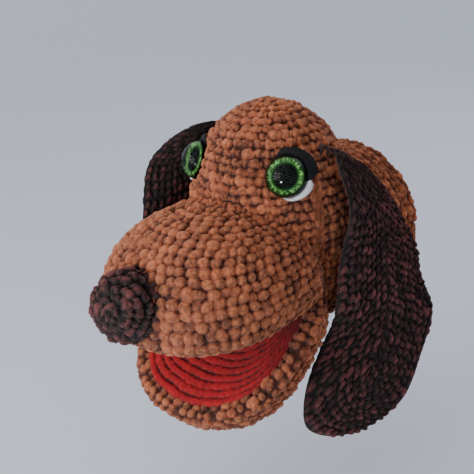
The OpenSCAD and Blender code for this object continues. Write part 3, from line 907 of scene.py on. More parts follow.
@dataclass(frozen=True)
class Outline:
    """The mouth's outline in a mouth frame: round at the front, squarer at the back."""

    half: float
    front: float
    back: float
    ahead: float
    front_power: float = 2.3
    back_power: float = 4.0

    def at(self, degrees: Array, inset: float = 0.0) -> Array:
        """Points of the outline at some angles, where 270 is the front, at Z = 0."""
        f = np.radians(degrees)
        c, s = np.cos(f), np.sin(f)
        power = np.where(s < 0, self.front_power, self.back_power)
        reach = np.where(s < 0, self.front, self.back) - inset
        x = (self.half - inset) * np.sign(c) * np.abs(c) ** (2 / power)
        y = reach * np.sign(s) * np.abs(s) ** (2 / power) - self.ahead
        return np.stack([x, y, np.zeros_like(x)], -1)

    def share(self, points: Array) -> Array:
        """1 on the outline, less inside it."""
        x = np.abs(points[..., 0]) / self.half
        y = points[..., 1] + self.ahead
        front = (x ** self.front_power + np.abs(y / self.front) ** self.front_power) ** (1 / self.front_power)
        back = (x ** self.back_power + np.abs(y / self.back) ** self.back_power) ** (1 / self.back_power)
        return np.where(y < 0, front, back)


@dataclass(frozen=True)
class Dome:
    """A closed dome on a mouth outline; up is 1 for the muzzle and -1 for the jaw."""

    outline: Outline
    height: float
    power: float
    up: float

    def share(self, points: Array) -> Array:
        """1 on the dome's surface, less inside it."""
        tall = np.abs(points[..., 2]) / self.height
        return (self.outline.share(points) ** self.power + tall ** self.power) ** (1 / self.power)

    def cast(self, origin: Array, ways: Array) -> Array:
        """Where rays from an inner point meet the surface, by halving."""
        near = np.zeros(ways.shape[:-1])
        far = np.full(ways.shape[:-1], RAY_REACH)
        for _ in range(HALVINGS):
            middle = (near + far) / 2
            inside = self.share(origin + ways * middle[..., None]) < 1.0
            near, far = np.where(inside, middle, near), np.where(inside, far, middle)
        return origin + ways * near[..., None]

    def grid(self, centre_y: float, turns: tuple[float, float], rows: int, columns: int,
             start: float = 0.0) -> Array:
        """Rings from the rim to the pole above a centre.

        Args:
            centre_y: where the pole stands over the mouth frame's plane.
            turns: first and last azimuth in degrees; 270 is the front.
            rows: number of rings.
            columns: points along each ring.
            start: height of the first ring above the rim plane in mm.

        Returns:
            The grid in the mouth frame, its columns even along each ring and its rings even up each column.
        """
        closed = turns[1] - turns[0] > 359.0
        around = np.radians(np.linspace(*turns, columns * 2, endpoint=not closed))
        rise = np.radians(np.linspace(0.0, 90.0, rows * 2))
        rise = rise[:, None]
        ways = stacked(np.cos(rise) * np.cos(around), np.cos(rise) * np.sin(around), self.up * np.sin(rise))
        origin = np.array([0.0, centre_y, self.up * start])
        dense = self.cast(origin, ways)
        rim = even_shares(dense[0], columns, closed)
        dense = take_columns(dense, rim, closed)
        return even_columns(dense, rows)


def even_shares(curve: Array, count: int, closed: bool) -> Array:
    """Fractional indices that space a curve's points evenly."""
    ring = np.vstack([curve, curve[:1]]) if closed else curve
    length = np.concatenate([[0.0], np.cumsum(np.linalg.norm(np.diff(ring, axis=0), axis=1))])
    at = np.linspace(0.0, length[-1], count, endpoint=not closed)
    return np.interp(at, length, np.arange(len(ring)))


def take_columns(grid: Array, at: Array, closed: bool) -> Array:
    """Columns of a grid at fractional indices."""
    ring = np.concatenate([grid, grid[:, :1]], axis=1) if closed else grid
    low = np.clip(np.floor(at).astype(int), 0, ring.shape[1] - 2)
    share = (at - low)[None, :, None]
    return ring[:, low] * (1 - share) + ring[:, low + 1] * share


def sample_columns(values: Array, at: Array) -> Array:
    """Values of a grid at a fractional row index for each point, column by column."""
    low = np.clip(np.floor(at).astype(int), 0, values.shape[0] - 2)
    share = at - low
    columns = np.broadcast_to(np.arange(values.shape[1]), at.shape)
    if values.ndim == 3:
        share = share[..., None]
    return values[low, columns] * (1 - share) + values[low + 1, columns] * share


def even_columns(grid: Array, count: int) -> Array:
    """A grid with each column's points spaced evenly along it."""
    step = np.linalg.norm(np.diff(grid, axis=0), axis=-1)
    length = np.vstack([np.zeros(grid.shape[1]), np.cumsum(step, axis=0)])
    index = np.arange(len(length))
    at = np.stack([np.interp(np.linspace(0, length[-1, k], count), length[:, k], index)
                   for k in range(grid.shape[1])], -1)
    return sample_columns(grid, at)


def crossing(keep: Array, from_start: bool) -> Array:
    """Fractional row in each column where a field changes sign.

    Args:
        keep: positive where the surface is kept, rows in axis 0.
        from_start: true when the kept part starts at the first row, false when it ends at the last.

    Returns:
        One row for each column.
    """
    field = keep if from_start else keep[::-1]
    gone = field < 0
    gone[0] = False
    index = np.where(gone.any(axis=0), gone.argmax(axis=0), len(field) - 1)
    columns = np.arange(field.shape[1])
    here, before = field[index, columns], field[np.maximum(index - 1, 0), columns]
    share = np.where(gone.any(axis=0), before / np.maximum(before - here, TINY), 1.0)
    edge = index - 1 + np.clip(share, 0.0, 1.0)
    return edge if from_start else len(field) - 1 - edge


def around_section(count: int, start: float) -> Array:
    """Angles of a roll's section, from one meeting of its rows to the next."""
    return np.radians(start) + np.linspace(0.0, 2 * np.pi, count)


def roll_grid(path: Array, side: Array, up: Array, half: tuple[float, float], count: int,
              start: float) -> Array:
    """The grid of a roll round a path in mm.

    Args:
        path: points along the roll.
        side: unit vector across the roll at each point.
        up: the other unit vector across it.
        half: half width along side and half height along up.
        count: points round the section.
        start: angle from side where the section's first and last points meet.

    Returns:
        A grid whose rows go round the section and whose columns run along the path.
    """
    w = around_section(count, start)[:, None, None]
    return path[None] + half[0] * np.cos(w) * side[None] + half[1] * np.sin(w) * up[None]


def path_sides(path: Array, closed: bool, up: Array) -> tuple[Array, Array]:
    """Unit vectors across a path: one level with up's plane and one along up."""
    tangent = (np.roll(path, -1, 0) - np.roll(path, 1, 0)) if closed else np.gradient(path, axis=0)
    tangent /= np.linalg.norm(tangent, axis=1, keepdims=True)
    side = np.cross(tangent, up)
    side /= np.linalg.norm(side, axis=1, keepdims=True)
    return side, np.cross(side, tangent)


# ---------------------------------------------------------------- sub-assemblies
@dataclass
class Skull:
    """The crocheted head above the muzzle, worked in level rounds up to the crown; sizes in mm."""

    plan: Plan
    muzzle: Dome
    rows: int = 175
    columns: int = 440
    low_angle: float = 131.0
    eye_seat: float = 9.5
    eye_ease: float = 8.0
    eye_level: float = -0.6
    sleeve_r: float = 41.5

    def base(self) -> Array:
        """The even base grid from below the cheeks to the crown."""
        polar = np.radians(np.linspace(self.low_angle, 1.2, self.rows))[:, None]
        turn = np.linspace(0.0, 2 * np.pi, self.columns, endpoint=False)[None]
        ways = sphere_ways(polar, turn)
        return even_columns(self.plan.skull_middle + ways * self.plan.skull_half, self.rows)

    def keep(self, grid: Array) -> Array:
        """Positive where the skull shows outside the muzzle and the sleeve."""
        in_lip = self.plan.out_of_lip(grid, self.plan.lip_pitch)
        muzzle = (self.muzzle.share(in_lip) - TUCK) * 30.0
        below = in_lip[..., 2] < 0.0
        muzzle = np.where(below, grid[..., 2] + 14.0, muzzle)
        sleeve = np.hypot(grid[..., 0], grid[..., 2]) - self.sleeve_r
        sleeve = np.where(grid[..., 1] < self.plan.hinge[1] + 2.0, 10.0, sleeve)
        return np.minimum(muzzle, sleeve)

    def seat(self, grid: Array, eyes: list["Eye"]) -> Array:
        """Presses the fabric flush under each eye."""
        for eye in eyes:
            local = eye.inward(grid)
            radius = np.hypot(local[..., 0], local[..., 1])
            near = (1.0 - smooth((radius - self.eye_seat) / self.eye_ease)) * (np.abs(local[..., 2]) < 20)
            local[..., 2] += (self.eye_level - local[..., 2]) * near
            grid = np.where(near[..., None] > 0, eye.outward(local), grid)
        return grid

    def build(self, wardrobe: Wardrobe, eyes: list["Eye"]) -> bpy.types.Object:
        """Builds and dresses the skull."""
        grid = self.base()
        first = crossing(self.keep(grid), False)
        grid = self.seat(grid, eyes)
        cover = Crochet(grid, BLOCKS, seed=11, capped_last=True, first=first)
        return wardrobe.make(cover.skin(), "skull_cover", "caramel_yarn", "head", "skull_cap")


@dataclass
class Muzzle:
    """The crocheted muzzle, in rows that follow the lip from cheek to cheek; sizes in mm."""

    plan: Plan
    dome: Dome
    rows: int = 180
    columns: int = 430
    centre_y: float = -16.0
    reach: float = 124.0

    def grid(self) -> Array:
        """The base grid in the row frame."""
        local = self.dome.grid(self.centre_y, (270.0 - self.reach, 270.0 + self.reach), self.rows,
                               self.columns, start=2.2)
        return self.plan.lip(local[:-6], self.plan.lip_pitch)

    def crease(self) -> Array:
        """The line where the muzzle meets the skull, left to right."""
        grid = self.grid()
        edge = crossing(self.plan.skull_share(grid) - 1.0, True)
        return sample_columns(grid, edge[None])[0]

    def build(self, wardrobe: Wardrobe) -> bpy.types.Object:
        """Builds and dresses the muzzle."""
        cover = Crochet(self.grid(), BEADS, closed=False, seed=23)
        return wardrobe.make(cover.skin(), "muzzle_cover", "caramel_yarn", "head", "muzzle")


@dataclass
class Jaw:
    """The crocheted lower jaw, closed at its bottom and open at the back for the hand; sizes in mm."""

    plan: Plan
    dome: Dome
    rows: int = 130
    columns: int = 470
    back_angle: float = 70.0
    hinge_clear: float = 8.0

    def grid(self) -> Array:
        """The base grid in the jaw's mouth frame, turned so that its normals look outward."""
        local = self.dome.grid(-self.plan.widest_ahead - 2.0, (0.0, 360.0), self.rows, self.columns,
                               start=2.2)
        return local[:-2, ::-1]

    def build(self, wardrobe: Wardrobe) -> bpy.types.Object:
        """Builds and dresses the jaw."""
        local = self.grid()
        angle = np.degrees(np.arctan2(-local[..., 2], -local[..., 1]))
        clear = np.hypot(local[..., 1], local[..., 2]) - self.hinge_clear
        first = crossing(np.minimum(self.back_angle - angle, clear * 4.0), False)
        grid = self.plan.lip(local, self.plan.jaw_pitch)
        cover = Crochet(grid, CHUNKS, seed=37, capped_last=True, first=first)
        return wardrobe.make(cover.skin(), "jaw_cover", "caramel_yarn", "jaw", "jaw_shell")


@dataclass
class Lip:
    """A braided edging on a mouth outline; side is 1 above the upper lip's plane and -1 below the jaw's."""

    plan: Plan
    outline: Outline
    side: float
    name: str
    body: str
    replaced: str
    radius: float = 2.8
    wide: float = 2.8
    columns: int = 620
    ring: int = 40
    clear: float = 6.0

    def path(self, pitch: float) -> tuple[Array, Array]:
        """The roll's middle line in the row frame and the rim's upward direction."""
        dense = self.outline.at(np.linspace(120.0, 420.0, 1400), self.wide)
        dense = dense[dense[:, 1] < -self.clear]
        dense[:, 2] = self.side * self.radius
        return self.plan.lip(even_curve(dense, self.columns, False), pitch), turn_x(
            np.array([[0.0, 0.0, self.side]]), pitch)[0]

    def build(self, wardrobe: Wardrobe) -> bpy.types.Object:
        """Builds and dresses the edging."""
        pitch = self.plan.lip_pitch if self.side > 0 else self.plan.jaw_pitch
        path, up = self.path(pitch)
        side, up = path_sides(path, False, up)
        grid = roll_grid(path, side, up, (self.wide, self.radius), self.ring, 180.0 if self.side > 0 else 0.0)
        roll = Roll(orient(grid, path), BRAID if self.side > 0 else HEM, False, seed=41)
        return wardrobe.make(roll.skin(), self.name, "caramel_yarn", self.body, self.replaced)


def orient(grid: Array, path: Array) -> Array:
    """A roll's grid with its rows turned round where that makes the normals look outward."""
    out = (grid_normals(grid, False) * (grid - path[None])).sum()
    return grid if out > 0 else grid[::-1]


@dataclass
class MouthCorners:
    """The soft folds that join the two edgings behind the hinge; sizes in mm."""

    plan: Plan
    upper: Lip
    lower: Lip
    reach: float = 9.0
    columns: int = 64
    ring: int = 34

    def build(self, wardrobe: Wardrobe) -> None:
        """Builds and dresses both folds, from head to jaw."""
        high, low = self.upper.path(self.plan.lip_pitch)[0], self.lower.path(self.plan.jaw_pitch)[0]
        t = np.linspace(0, 1, self.columns)[:, None]
        for name, end, before in (("right_mouth_corner", 0, 4), ("left_mouth_corner", -1, -5)):
            a, b = high[end], low[end]
            ahead, below = a - high[before], b - low[before]
            p = a + ahead / np.linalg.norm(ahead) * self.reach
            q = b + below / np.linalg.norm(below) * self.reach
            curve = (1 - t) ** 3 * a + 3 * (1 - t) ** 2 * t * p + 3 * (1 - t) * t ** 2 * q + t ** 3 * b
            path = even_curve(curve, self.columns, False)
            side, up = path_sides(path, False, np.array([1.0, 0.0, 0.0]))
            grid = roll_grid(path, side, up, (self.upper.radius, self.upper.radius), self.ring, 0.0)
            roll = Roll(orient(grid, path), HEM, False, seed=47)
            bend_at_hinge(wardrobe.make(roll.skin(), name, "caramel_yarn", ""))


def bend_at_hinge(piece: bpy.types.Object) -> None:
    """Bakes a piece's transform into its mesh."""
    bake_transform(piece)


@dataclass
class MouthLining:
    """The red ribbed lining: lower and upper halves in one piece, folded at the hinge; sizes in mm."""

    plan: Plan
    upper: Outline
    lower: Outline
    inset: float = 4.2
    lower_inset: float = 7.8
    clear: float = 7.0
    dish: float = 4.5
    columns: int = 230
    rows: int = 300

    def half(self, outline: Outline, count: int, up: float) -> Array:
        """One half's rows from the fold to the front rim, in its mouth frame."""
        dense = outline.at(np.linspace(100.0, 440.0, 1400), self.inset if up > 0 else self.lower_inset)
        front = even_curve(dense[dense[:, 1] < -self.clear], self.columns, False)
        back = np.linspace(front[0], front[-1], self.columns)
        w = np.linspace(0.0, 1.0, count)[:, None, None]
        rows = back[None] * (1 - w) + front[None] * w
        share = np.clip(outline.share(rows), 0, 1)
        sunk = self.dish * (1 - smooth((share - 0.25) / 0.7)) * smooth(w[..., 0] / 0.25)
        rows[..., 2] = up * (sunk + 0.2 - 1.2 * smooth((share - 0.86) / 0.1))
        return rows

    def build(self, wardrobe: Wardrobe) -> bpy.types.Object:
        """Builds and dresses the lining, folded across the hinge."""
        count = self.rows // 2
        low = self.plan.lip(self.half(self.lower, count, -1.0), self.plan.jaw_pitch)
        high = self.plan.lip(self.half(self.upper, count, 1.0), self.plan.lip_pitch)
        turn = np.linspace(0, 1, 9)[1:-1, None, None]
        fold = low[:1] * (1 - turn) + high[:1] * turn
        fold[..., 1] += 3.0 * np.sin(np.pi * turn[..., 0])
        grid = np.concatenate([low[::-1], fold, high])
        cover = Crochet(grid, RIBS, closed=False, thickness=2.2, seed=53, coarse=3)
        piece = wardrobe.make(cover.skin(), "mouth_lining", "red_yarn", "", "upper_palate", "lower_palate")
        bend_at_hinge(piece)
        return piece


@dataclass
class Nose:
    """The ball nose, crocheted in rounds from its front; sizes in mm."""

    rows: int = 90
    columns: int = 190
    turn: float = 24.0
    rise: float = 14.0

    def build(self, wardrobe: Wardrobe) -> bpy.types.Object:
        """Builds and dresses the nose."""
        low, high = low_mm("nose"), high_mm("nose")
        radius = (high[0] - low[0]) / 2
        middle = np.array([0.0, low[1] + radius, high[2] - radius])
        polar = np.radians(np.linspace(152.0, 2.5, self.rows))[:, None]
        turn = np.linspace(0, 2 * np.pi, self.columns, endpoint=False)[None]
        front = Vector((math.sin(math.radians(self.turn)), -math.cos(math.radians(self.turn)),
                        math.sin(math.radians(self.rise)))).normalized()
        frame_of = np.array(front.to_track_quat("Z", "Y").to_matrix())
        grid = middle + radius * sphere_ways(polar, turn) @ frame_of.T
        cover = Crochet(grid, CHUNKS, seed=61, capped_last=True)
        return wardrobe.make(cover.skin(), "nose_cover", "dark_yarn", "head", "nose")


@dataclass
class Sleeve:
    """The wrist sleeve; sizes in mm."""

    plan: Plan
    muzzle: Dome
    rows: int = 150
    columns: int = 440
    cut_angle: float = 123.0
    taper: float = 4.0

    @property
    def radius(self) -> float:
        """Outer radius of the sleeve."""
        return high_mm("neck_sleeve")[0]

    def ring_radius(self, ahead: Array) -> Array:
        """Outer radius some way ahead of the wrist opening, narrowing into the cheeks."""
        return self.radius - self.taper * smooth((ahead - 60.0) / 26.0)

    def grid(self) -> Array:
        """The base grid, from the edging to the cheeks."""
        ahead = np.linspace(6.0, -self.plan.hinge[1] + 6.0, self.rows)[:, None]
        turn = np.linspace(0, 2 * np.pi, self.columns, endpoint=False)[None]
        r = self.ring_radius(ahead)
        return stacked(r * np.cos(turn), -ahead, r * np.sin(turn))

    def build(self, wardrobe: Wardrobe) -> bpy.types.Object:
        """Builds and dresses the sleeve."""
        grid = self.grid()
        skull = (self.plan.skull_share(grid) - TUCK) * 40.0
        muzzle = (self.muzzle.share(self.plan.out_of_lip(grid, self.plan.lip_pitch)) - TUCK) * 40.0
        muzzle = np.where(grid[..., 2] < self.plan.hinge[2], 40.0, muzzle)
        down, ahead = self.plan.hinge[2] - grid[..., 2], self.plan.hinge[1] - grid[..., 1]
        cut = np.where(down > 0, np.degrees(np.arctan2(down, ahead)) - self.cut_angle, 50.0)
        last = crossing(np.minimum(np.minimum(skull, muzzle), cut), True)
        cover = Crochet(grid, BLOCKS, seed=71, last=last)
        return wardrobe.make(cover.skin(), "sleeve_cover", "caramel_yarn", "head", "neck_sleeve")


@dataclass
class Cuff:
    """The rolled edging of the wrist opening; sizes in mm."""

    columns: int = 460
    ring: int = 54

    def build(self, wardrobe: Wardrobe) -> bpy.types.Object:
        """Builds and dresses the edging."""
        outer = high_mm("cuff_edging")[0]
        inner = frame["record"]["mounts"][0]["dims"]["r_mm"]
        length = high_mm("cuff_edging")[1] - low_mm("cuff_edging")[1]
        turn = np.linspace(0, 2 * np.pi, self.columns, endpoint=False)
        side = np.stack([np.cos(turn), 0 * turn, np.sin(turn)], -1)
        path = side * (outer + inner) / 2 + np.array([0.0, -length / 2, 0.0])
        up = np.broadcast_to(np.array([0.0, 1.0, 0.0]), path.shape)
        grid = roll_grid(path, side, up, ((outer - inner) / 2 - 0.4, length / 2), self.ring, 180.0)
        roll = Roll(orient(grid, path), CHUNKS, True, seed=83)
        return wardrobe.make(roll.skin(), "cuff_roll", "caramel_yarn", "head", "cuff_edging")


@dataclass
class Throat:
    """The slack web of fabric between the sleeve and the jaw; sizes in mm."""

    plan: Plan
    sleeve: Sleeve
    jaw: Jaw
    columns: int = 200
    rows: int = 46
    start_angle: float = 128.0

    def sleeve_edge(self) -> Array:
        """Points on the sleeve's lower front edge, left to right, as X and radius about the hinge."""
        turn = np.radians(np.linspace(-7.0, -173.0, 400))
        sine = math.sin(math.radians(self.start_angle))
        r = self.sleeve.radius - 2.0
        x, z = r * np.cos(turn), r * np.sin(turn)
        reach = np.maximum(self.plan.hinge[2] - z, 0.5) / sine
        return even_curve(np.stack([x, reach], -1), self.columns, False)

    def jaw_edge(self) -> Array:
        """Points on the jaw's back edge, left to right, as X and radius about the hinge."""
        back = math.radians(self.jaw.back_angle - 2.0)
        down = np.array([0.0, -math.cos(back), -math.sin(back)])
        turn = np.radians(np.linspace(-26.0, 206.0, 400))[:, None]
        ways = np.cos(turn) * np.array([1.0, 0.0, 0.0]) + np.sin(turn) * down
        found = self.jaw.dome.cast(down * 16.0, ways)
        return even_curve(np.stack([found[:, 0], found @ down], -1), self.columns, False)

    def build(self, wardrobe: Wardrobe) -> bpy.types.Object:
        """Builds and dresses the web, from head to jaw."""
        back, front = self.sleeve_edge(), self.jaw_edge()
        w = np.linspace(0.0, 1.0, self.rows)[:, None, None]
        section = back[None] * (1 - w) + front[None] * w
        reach = section[..., 1] - 2.5 * np.sin(np.pi * w[..., 0])
        end_angle = self.plan.jaw_pitch + self.jaw.back_angle - 4.0
        angle = np.radians(self.start_angle + (end_angle - self.start_angle) * w[..., 0])
        grid = np.stack([section[..., 0], self.plan.hinge[1] - reach * np.cos(angle),
                         self.plan.hinge[2] - reach * np.sin(angle)], -1)
        cover = Crochet(grid[:, ::-1], PURL, closed=False, thickness=2.5, seed=89)
        piece = wardrobe.make(cover.skin(), "throat_web", "caramel_yarn", "")
        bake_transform(piece)
        return piece


@dataclass(frozen=True)
class Hang:
    """How an ear hangs: angles in degrees, distances in mm."""

    dip: float
    turn_root: float
    turn_tip: float
    flare: float
    rise: float
    back: float
    tuck: float


@dataclass
class Ear:
    """A long flat ear, crocheted in rows round a middle chain; sizes in mm."""

    side: float
    hang: Hang
    name: str
    seed: int
    length: float = 150.0
    width: float = 86.0
    root_width: float = 38.0
    thickness: float = 5.0
    widest: float = 0.74
    tip_power: float = 2.2
    rows: int = 84
    columns: int = 560
    ruffle: float = 1.3
    shoulder: float = 0.6
    sink: float = 0.6

    def growth(self, along: Array) -> Array:
        """How far the ear has widened at a share of its length, from 0 at the root to 1."""
        return np.sin(np.pi / 2 * np.clip(along / self.widest, 0, 1) ** self.shoulder)

    def half_width(self, along: Array) -> Array:
        """Half the ear's width at a share of its length."""
        a, b = self.root_width / 2, self.width / 2
        upper = a + (b - a) * self.growth(along)
        beyond = np.clip((along - self.widest) / (1 - self.widest), 0, 1)
        lower = b * (1 - beyond ** self.tip_power) ** (1 / self.tip_power)
        return np.where(along < self.widest, upper, lower)

    def place(self, across: Array, along: Array) -> Array:
        """Points of the ear's middle surface.

        Args:
            across: mm from the middle line, positive to the back.
            along: share of the length from the root.

        Returns:
            Points in the row frame.
        """
        hang, root = self.hang, joint_place(f"{self.name}_root")
        dip = np.radians(hang.dip * (1 - along))
        turn = np.radians(hang.turn_root + (hang.turn_tip - hang.turn_root) * smooth(along))
        sweep = hang.back * self.growth(along) - hang.tuck * smooth((along - 0.56) / 0.36)
        x = abs(root[0]) + hang.flare * smooth(along / 0.22) + across * np.cos(dip) * np.sin(turn)
        y = root[1] + sweep + across * np.cos(dip) * np.cos(turn)
        z = root[2] - self.length * along - across * np.sin(dip)
        z = z + hang.rise * np.sin(np.pi * np.minimum(1, along / 0.25))
        edge = smooth(np.abs(across) / 30.0 - 0.3)
        x = x + self.ruffle * edge * np.sin(along * 19.0 + across * 0.05) * smooth(along / 0.3)
        return np.stack([x * self.side, y, z], -1)

    def shares(self) -> tuple[Array, Array]:
        """Across and along values of a grid whose rows go from the middle chain to the edge."""
        along = np.concatenate([np.linspace(0, 0.995, 900), 1 - 0.005 * np.linspace(1, 0, 200) ** 2])
        half = self.half_width(along)
        edge = np.concatenate([np.stack([-half, along], -1), np.stack([half, along], -1)[::-1][1:]])
        metric = np.stack([edge[:, 0], edge[:, 1] * self.length], -1)
        even = even_curve(metric, self.columns, False)
        even[:, 1] /= self.length
        even = (even + even[::-1] * np.array([-1.0, 1.0])) / 2
        w = np.linspace(0.0, 1.0, self.rows)[:, None]
        middle = even[:, 1] * (self.widest + 0.04)
        return even[None, :, 0] * w, middle[None] * (1 - w) + even[None, :, 1] * w

    def face(self, skin: Skin, out: float, band: tuple[float, float]) -> Array:
        """Adds one face of the ear to a skin and returns its vertices."""
        across, along = self.shares()
        middle = self.place(across, along)
        half = self.half_width(np.clip(along, 0, 1))
        share = np.clip(np.abs(across) / np.maximum(half, 1e-3), 0, 1)
        tip = smooth((along - 0.9) / 0.1)
        thin = np.sqrt(np.clip(1 - np.maximum(share, tip * share) ** 7, 0.10, 1))
        normal = grid_normals(middle, False)
        normal = normal * np.sign((normal[..., 0] * out * self.side).mean())
        stitch = LOOPS if out > 0 else ROUNDS
        lattice = Lattice.over(middle, False, stitch)
        height, tint = lattice.relief(middle, stitch, self.seed + int(out))
        row = np.linspace(0, 1, self.rows)[:, None]
        ease = smooth(row / 0.04)
        lift = stitch.relief * (height - self.sink) + stitch.fuzz * noise(middle, FINE_LUMP, self.seed)
        lift = lift * ease - 0.5 * (1 - ease)
        surface = middle + normal * (self.thickness / 2 * thin + lift * np.minimum(thin + 0.25, 1))[..., None]
        surface[0] = (surface[0] + surface[0, ::-1]) / 2
        index = skin.add_points(surface, height, tint, band)
        keep = np.minimum(np.arange(self.columns), np.arange(self.columns)[::-1])
        index[0] = index[0][keep]
        return index

    def build(self, wardrobe: Wardrobe) -> bpy.types.Object:
        """Builds and dresses the ear."""
        skin = Skin.empty()
        outer = self.face(skin, 1.0, (0.0, 0.49))
        inner = self.face(skin, -1.0, (0.51, 1.0))
        rim = np.stack([outer[-1], inner[-1]])
        ends = [np.stack([outer[:, end], inner[:, end]]) for end in (0, -1)]
        for index in (outer, inner, rim, *ends):
            skin.add_grid(index, False)
        return wardrobe.make(skin, f"{self.name}_flap", "dark_yarn", self.name, self.name)


@dataclass(frozen=True)
class FeltCut:
    """A felt shape round an eye: an arc of a shifted circle; mm, degrees, and metres for flat."""

    name: str
    start: float
    end: float
    shift: tuple[float, float]
    radius: float
    cloth: float
    lift: float
    flat: tuple[float, float]
    lash: float = 0.0
    inner: float = 6.0


WHITE = FeltCut("white_crescent", start=-8.0, end=90.0, shift=(1.0, 2.7), radius=10.3, cloth=0.9, lift=0.65,
                flat=(0.012, 0.018))
LID = FeltCut("lid", start=80.0, end=212.0, shift=(-1.9, 2.0), radius=12.3, cloth=1.2, lift=1.0,
              flat=(0.029, 0.017), lash=0.35)


